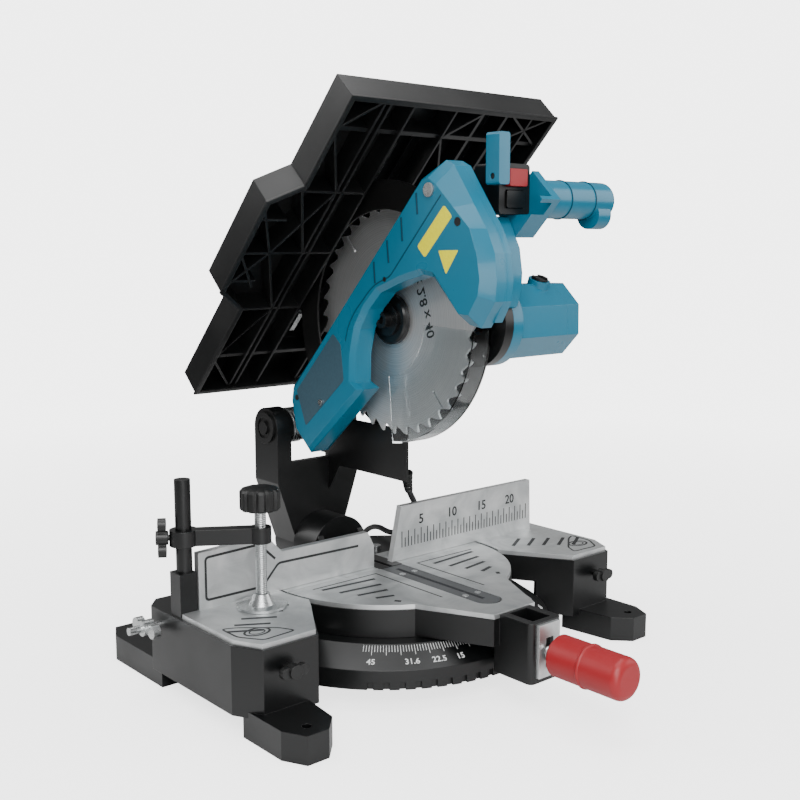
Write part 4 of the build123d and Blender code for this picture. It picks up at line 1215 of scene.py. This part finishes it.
@dataclass
class HeadDetails:
    """Wire return spring, guard over the upper teeth, size figures on the blade and the handle's seams.

    Args:
        spring_radius: Radius of the spring's middle line.
        wire: Radius of its wire.
        spring_turns: Number of turns.
        spring_start: Level x of its first turn.
        spring_run: Distance from its first turn to its last.
        seams: Levels x of the handle's seams.
        seam_radius: Radius of a seam.
        shroud_inner: Radius of the guard's inner edge, about the blade's centre.
        shroud_outer: Radius of its outer edge.
        shroud_top: Height at which the outer edge is cut flat.
    """

    spring_radius: float = 19.6
    wire: float = 1.9
    spring_turns: float = 4.5
    spring_start: float = -33.6
    spring_run: float = 19.2
    seams: tuple = (62.0, 96.0, 134.0)
    seam_radius: float = 19.75
    shroud_inner: float = 118.5
    shroud_outer: float = 150.0
    shroud_top: float = 341.0

    def spring(self) -> Shell:
        """Helix about the pivot shaft: the angle and the distance along x grow together."""
        t = np.linspace(0, 1, 181)
        angle = TAU * self.spring_turns * t
        path = np.stack([self.spring_start + self.spring_run * t, PIVOT_Y + self.spring_radius * np.cos(angle),
                         PIVOT_Z + self.spring_radius * np.sin(angle)], axis=1)
        return carried(path, circle(self.wire, 10), (1, 0, 0))

    def shroud(self) -> Shell:
        """Flat guard over the blade's upper teeth: its inner edge is an arc, its outer one a wider arc cut flat."""
        angle = np.radians(np.linspace(18, 162, 61))
        y, z = np.cos(angle), np.sin(angle)
        inner = np.stack([HUB_LOW[0] + self.shroud_inner * y, HUB_LOW[1] + self.shroud_inner * z], axis=1)
        rise = np.minimum(HUB_LOW[1] + self.shroud_outer * z, self.shroud_top)
        outer = np.stack([HUB_LOW[0] + self.shroud_outer * y, rise], axis=1)
        return slab(np.concatenate([outer, inner[::-1]]), -16.6, -14.2, Lie.FACING_SIDE, 0.3)

    def blade_figures(self) -> Shell:
        """Size figures round the blade: diameter, plate and tooth count in millimetres."""
        place = axes((0, -0.35, -0.94), (0, 0.94, -0.35), (-1.45, HUB_REST[0] - 46, HUB_REST[1] + 30))
        return figures("255 x 2.8 x 40", 17.0, place, 0.06)

    def build(self) -> None:
        """Make the pieces."""
        make("blade_shroud", on_head(self.shroud()), BLACK, "head")
        make("blade_figures", self.blade_figures(), BLADE_INK, "blade")
        spring = make("return_spring_wire", self.spring(), ZINC, "bevel_arm")
        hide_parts("return_spring")
        bands = []
        for x in self.seams:
            ring = circle(self.seam_radius, 40) + HANDLE_AXIS
            bands.append(carried(laid(ring, x, Lie.FACING_SIDE), bar_section(1.4, -0.5, 0.15), (1, 0, 0), closed=True))
        # Painted shade: the seams are bands in the darker nylon that stands for their shade.
        make("handle_seams", on_head(joined(bands)), TEAL_GROOVE_SHADE, "head")


@dataclass
class Clamp:
    """Threaded spindle of the hold-down clamp and its fluted knob.

    Args:
        at: Spindle's x and y.
        pitch: Distance between threads, coarser than the real 1.75 mm so that it shows.
    """

    at: tuple[float, float] = (-189.0, -29.0)
    pitch: float = 2.2

    def thread(self) -> Shell:
        """Rod whose radius rises and falls with height and angle together, which draws a helix."""
        z, angle = np.linspace(109.5, 197, 280)[:, None], (np.arange(24) * TAU / 24)[None, :]
        wave = np.abs(((z / self.pitch - angle / TAU) % 1.0) * 2 - 1)
        radius = 5.5 + 0.4 * wave
        rings = np.stack([self.at[0] + radius * np.cos(angle), self.at[1] + radius * np.sin(angle),
                          np.broadcast_to(z, radius.shape)], axis=-1)
        return loft(rings)

    def knob(self) -> Shell:
        """Domed knob: the profile's radius is drawn in by a rounded cosine in twelve flutes."""
        profile = np.array([(7.0, 193.0), (9.0, 194.0), (10.0, 195.4), (19.0, 195.8), (20.4, 197.6), (20.4, 214.6),
                            (18.6, 217.0), (13.0, 218.8), (1.0, 218.9)])
        angle = (np.arange(96) * TAU / 96)[None, :]
        flute = 1 - 0.09 * np.clip(-np.cos(12 * angle), 0, 1) ** 1.5
        radius = profile[:, :1] * np.where(profile[:, :1] > 12, flute, 1.0)
        rings = np.stack([self.at[0] + radius * np.cos(angle), self.at[1] + radius * np.sin(angle),
                          np.broadcast_to(profile[:, 1:], radius.shape)], axis=-1)
        return loft(rings)

    def build(self) -> None:
        """Make the spindle and the knob."""
        rod = make("clamp_spindle_thread", self.thread(), ZINC, "clamp_spindle", 60)
        make("clamp_knob", self.knob(), BLACK, "clamp_spindle")
        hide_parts("clamp_spindle")


def main() -> None:
    """Build the scene in order: camera and lead first, then each sub-assembly."""
    logging.basicConfig(level=logging.INFO, format="%(name)s %(message)s")
    studio = Studio()
    studio.camera()
    for builder in (MainsLead(), PackedParts(), Fences(), TablePlates(), MitreScale(),
                    BladeCover(), TableRibs(), HeadDetails(), Clamp()):
        LOG.info("building %s", type(builder).__name__)
        builder.build()
    studio.floor()
    studio.lights()
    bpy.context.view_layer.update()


if __name__ == "__main__":
    main()
